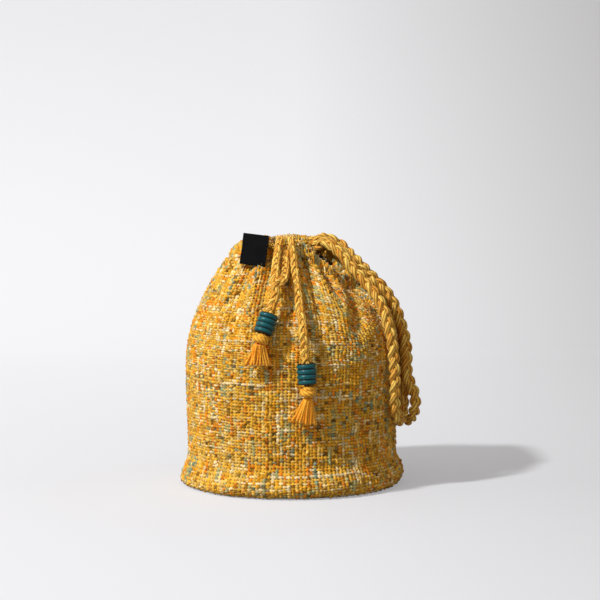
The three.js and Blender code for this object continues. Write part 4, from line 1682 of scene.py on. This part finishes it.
INNER_LOOP_ROUTE = (
    (19.4, 9.4, 200.8), (28, 1.8, 205), (36, -4.8, 201.2), (43.5, -10.6, 193.6),
    (51, -15.8, 184.6), (58.8, -20, 176), (67.4, -26, 166.4), (74.6, -32.4, 154.4), (79.4, -38, 140.4),
    (82.6, -41.6, 126.4), (84.2, -42, 113), (85.3, -43.3, 99), (85.3, -43.3, 86), (85.4, -41.6, 74),
    (87.6, -35.5, 62), (91.4, -21, 56.4), (94.4, -6.8, 62), (95.3, -1.4, 74), (95.4, 0.2, 86),
    (95.4, 1.4, 100), (94.9, 2.6, 109.7), (94.6, 4.6, 123.3), (91.8, 6.4, 137.4), (87.4, 8.6, 150.8),
    (81, 10.8, 161.8), (73.4, 13, 170.6), (65.4, 15.4, 178.4), (57.4, 18.4, 186.6), (50, 22.4, 193.8),
    (43.4, 27, 200.8), (34, 28, 206), (24.5, 26, 208.6),
)
OUTER_LOOP_ROUTE = (
    (15.4, 18, 204.6), (27, 12.8, 206.9), (36.5, 7.5, 200.6), (44.5, 1, 193.2), (53.5, -3.5, 186),
    (61.8, -4.6, 180), (69, -5.8, 174.6), (75.7, -7, 168.8), (83.2, -8.3, 158.7), (88.3, -9.3, 148.6),
    (93.1, -10.5, 134.3), (96.2, -11.5, 121.6), (97.2, -12, 110.6), (97.2, -12.3, 100.4),
    (98.3, -12.3, 91.9), (101.7, -12, 83.3), (104.4, -11, 74.6), (104.5, -8.5, 64.8), (102.2, -1.5, 55.9),
    (98.9, 8, 51.7), (96.2, 17.5, 54.9), (95.7, 23, 64.2), (95.7, 24.2, 76.3), (95.6, 24.3, 89.5),
    (95.5, 24.3, 102.6), (94.2, 24.3, 116.6), (91.1, 24.5, 129.7), (86.7, 25, 141.9), (80.2, 26.2, 153.5),
    (72.9, 28.2, 162.5), (65.1, 30.8, 170.2), (56.9, 34, 178.2), (48.7, 37.5, 185.9), (40.5, 40.5, 192.7),
    (31.3, 42, 197.4),
)

FRONT_CREASES = (
    Crease((56, 58), (66, 94), 5.0, -3.5),
    Crease((60, 56), (71, 94), 7.0, 9.5),
    Crease((72, 56), (78, 100), 7.0, 7.5),
    Crease((12, 86), (42, 88), 8.0, 4.5),
    Crease((37, 50), (37.5, 86), 6.5, 3.4),
    Crease((14, 66), (26, 78), 3.5, 2.0),
    Crease((18, 58), (30, 72), 4.0, 1.4),
    Crease((34, 62), (37, 84), 4.0, 1.2),
    Crease((48, 64), (47, 84), 4.0, 1.6),
    Crease((8, 6), (24, 9), 6.0, 1.2),
    Crease((56, 5), (76, 10), 6.0, 1.4),
)
BACK_CREASES = (
    Crease((20, 58), (26, 84), 4.0, 1.6),
    Crease((44, 60), (42, 84), 4.0, 1.6),
    Crease((64, 58), (58, 82), 4.0, 1.8),
    Crease((30, 6), (52, 9), 6.0, 1.2),
)


def main() -> None:
    """Builds the bag, piece by piece."""
    logging.basicConfig(level=logging.INFO, format="%(message)s")
    bpy.context.scene.view_settings.view_transform = "Standard"
    studio = Studio()
    studio.camera()
    studio.light()
    studio.paper(PaperFinish().material())

    left, right, short = (
        PlaitedCord(f"{side}_drawstring_plait", f"drawstring_{side}_end", DRAWSTRING, *facts)
        for side, *facts in (
            ("left", LEFT_ROUTE, 96.0, FarEnd.KNOT, 0.75),
            ("right", RIGHT_ROUTE, 136.0, FarEnd.KNOT, 0.65),
            ("short", SHORT_ROUTE, 51.5, FarEnd.BARE),
        ))
    loops = [
        PlaitedCord(f"{place}_loop_plait", f"{place}_carry_loop", CARRY_LOOP, route, length, FarEnd.OBJECT)
        for place, route, length in (("inner", INNER_LOOP_ROUTE, 400.0), ("outer", OUTER_LOOP_ROUTE, 395.0))
    ]
    ends = (
        DrawstringEnd("left", Body.LEFT_BEAD, left, (-26.0, -79.0, 110.0), 31, 3, 4.4),
        DrawstringEnd("right", Body.RIGHT_BEAD, right, (10.0, -79.6, 63.1), 32, 1, 2.8, knot_length=11.0),
    )
    # Each yarn's third colour is the painted shade in the grooves between its plies.
    cord_yarn, loop_yarn = (
        YarnFinish(name, *dyes, style.plies, style.twist).material() for name, dyes, style in (
            ("plaited cotton yarn", ("#FFD466", "#E29C2C", "#76490F"), DRAWSTRING),
            ("thick plaited cotton yarn", ("#FFD868", "#D68E24", "#5E3A0C"), CARRY_LOOP),
        ))
    knot_yarn = YarnFinish(
        "knotted cotton yarn", "#FFC244", "#F2A426", "#A06412",
        DrawstringEnd.knot_plies, DrawstringEnd.bundle_twist).material()
    tassel_yarn = YarnFinish("cut cotton yarn", "#FFC644", "#FFA81C", "#FF9C18", 2, 5.0, sheen=0.6).material()
    lacquer = LacquerFinish().material()
    for end in ends:
        cord = end.cord.build(cord_yarn)
        end.cord.declare(cord, [end.bead(lacquer), end.knot(knot_yarn), end.tassel(tassel_yarn)])
    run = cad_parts["drawstring_run"]
    run.data.materials.clear()
    run.data.materials.append(cord_yarn)
    short.declare(short.build(cord_yarn), [run])
    for loop in loops:
        loop.declare(loop.build(loop_yarn), [])

    form, weave = BagForm(), Weave()
    tweed = TweedFinish(weave).material()
    cotton = WovenFinish("slate cotton lining", "#4A5257", "#22272B", 1.0, 0.85, 0.25).material()
    satin = WovenFinish("black satin ribbon", "#0E0E10", "#040405", 0.7, 0.7, 0.06, 0.0).material()
    # The thread's third colour is painted shade between its plies.
    thread = YarnFinish("black sewing thread", "#1C1C1F", "#0D0D0F", "#050506", 2, 1.5, sheen=0.0).material()
    TweedPanel(form, weave, PanelSide.FRONT, FRONT_CREASES).build(tweed)
    TweedPanel(form, weave, PanelSide.BACK, BACK_CREASES).build(tweed)
    OvalPanel("tweed_base", "base_panel", Slot.TWEED, (1.5, 1.25), 0.5).build(tweed, weave)
    Lining(form).wall(cotton)
    OvalPanel("cotton_lining_base", "lining_base", Slot.LINING, (4.0, 4.0)).build(cotton, weave)
    Label(form).build(satin, thread)


if __name__ == "__main__":
    main()
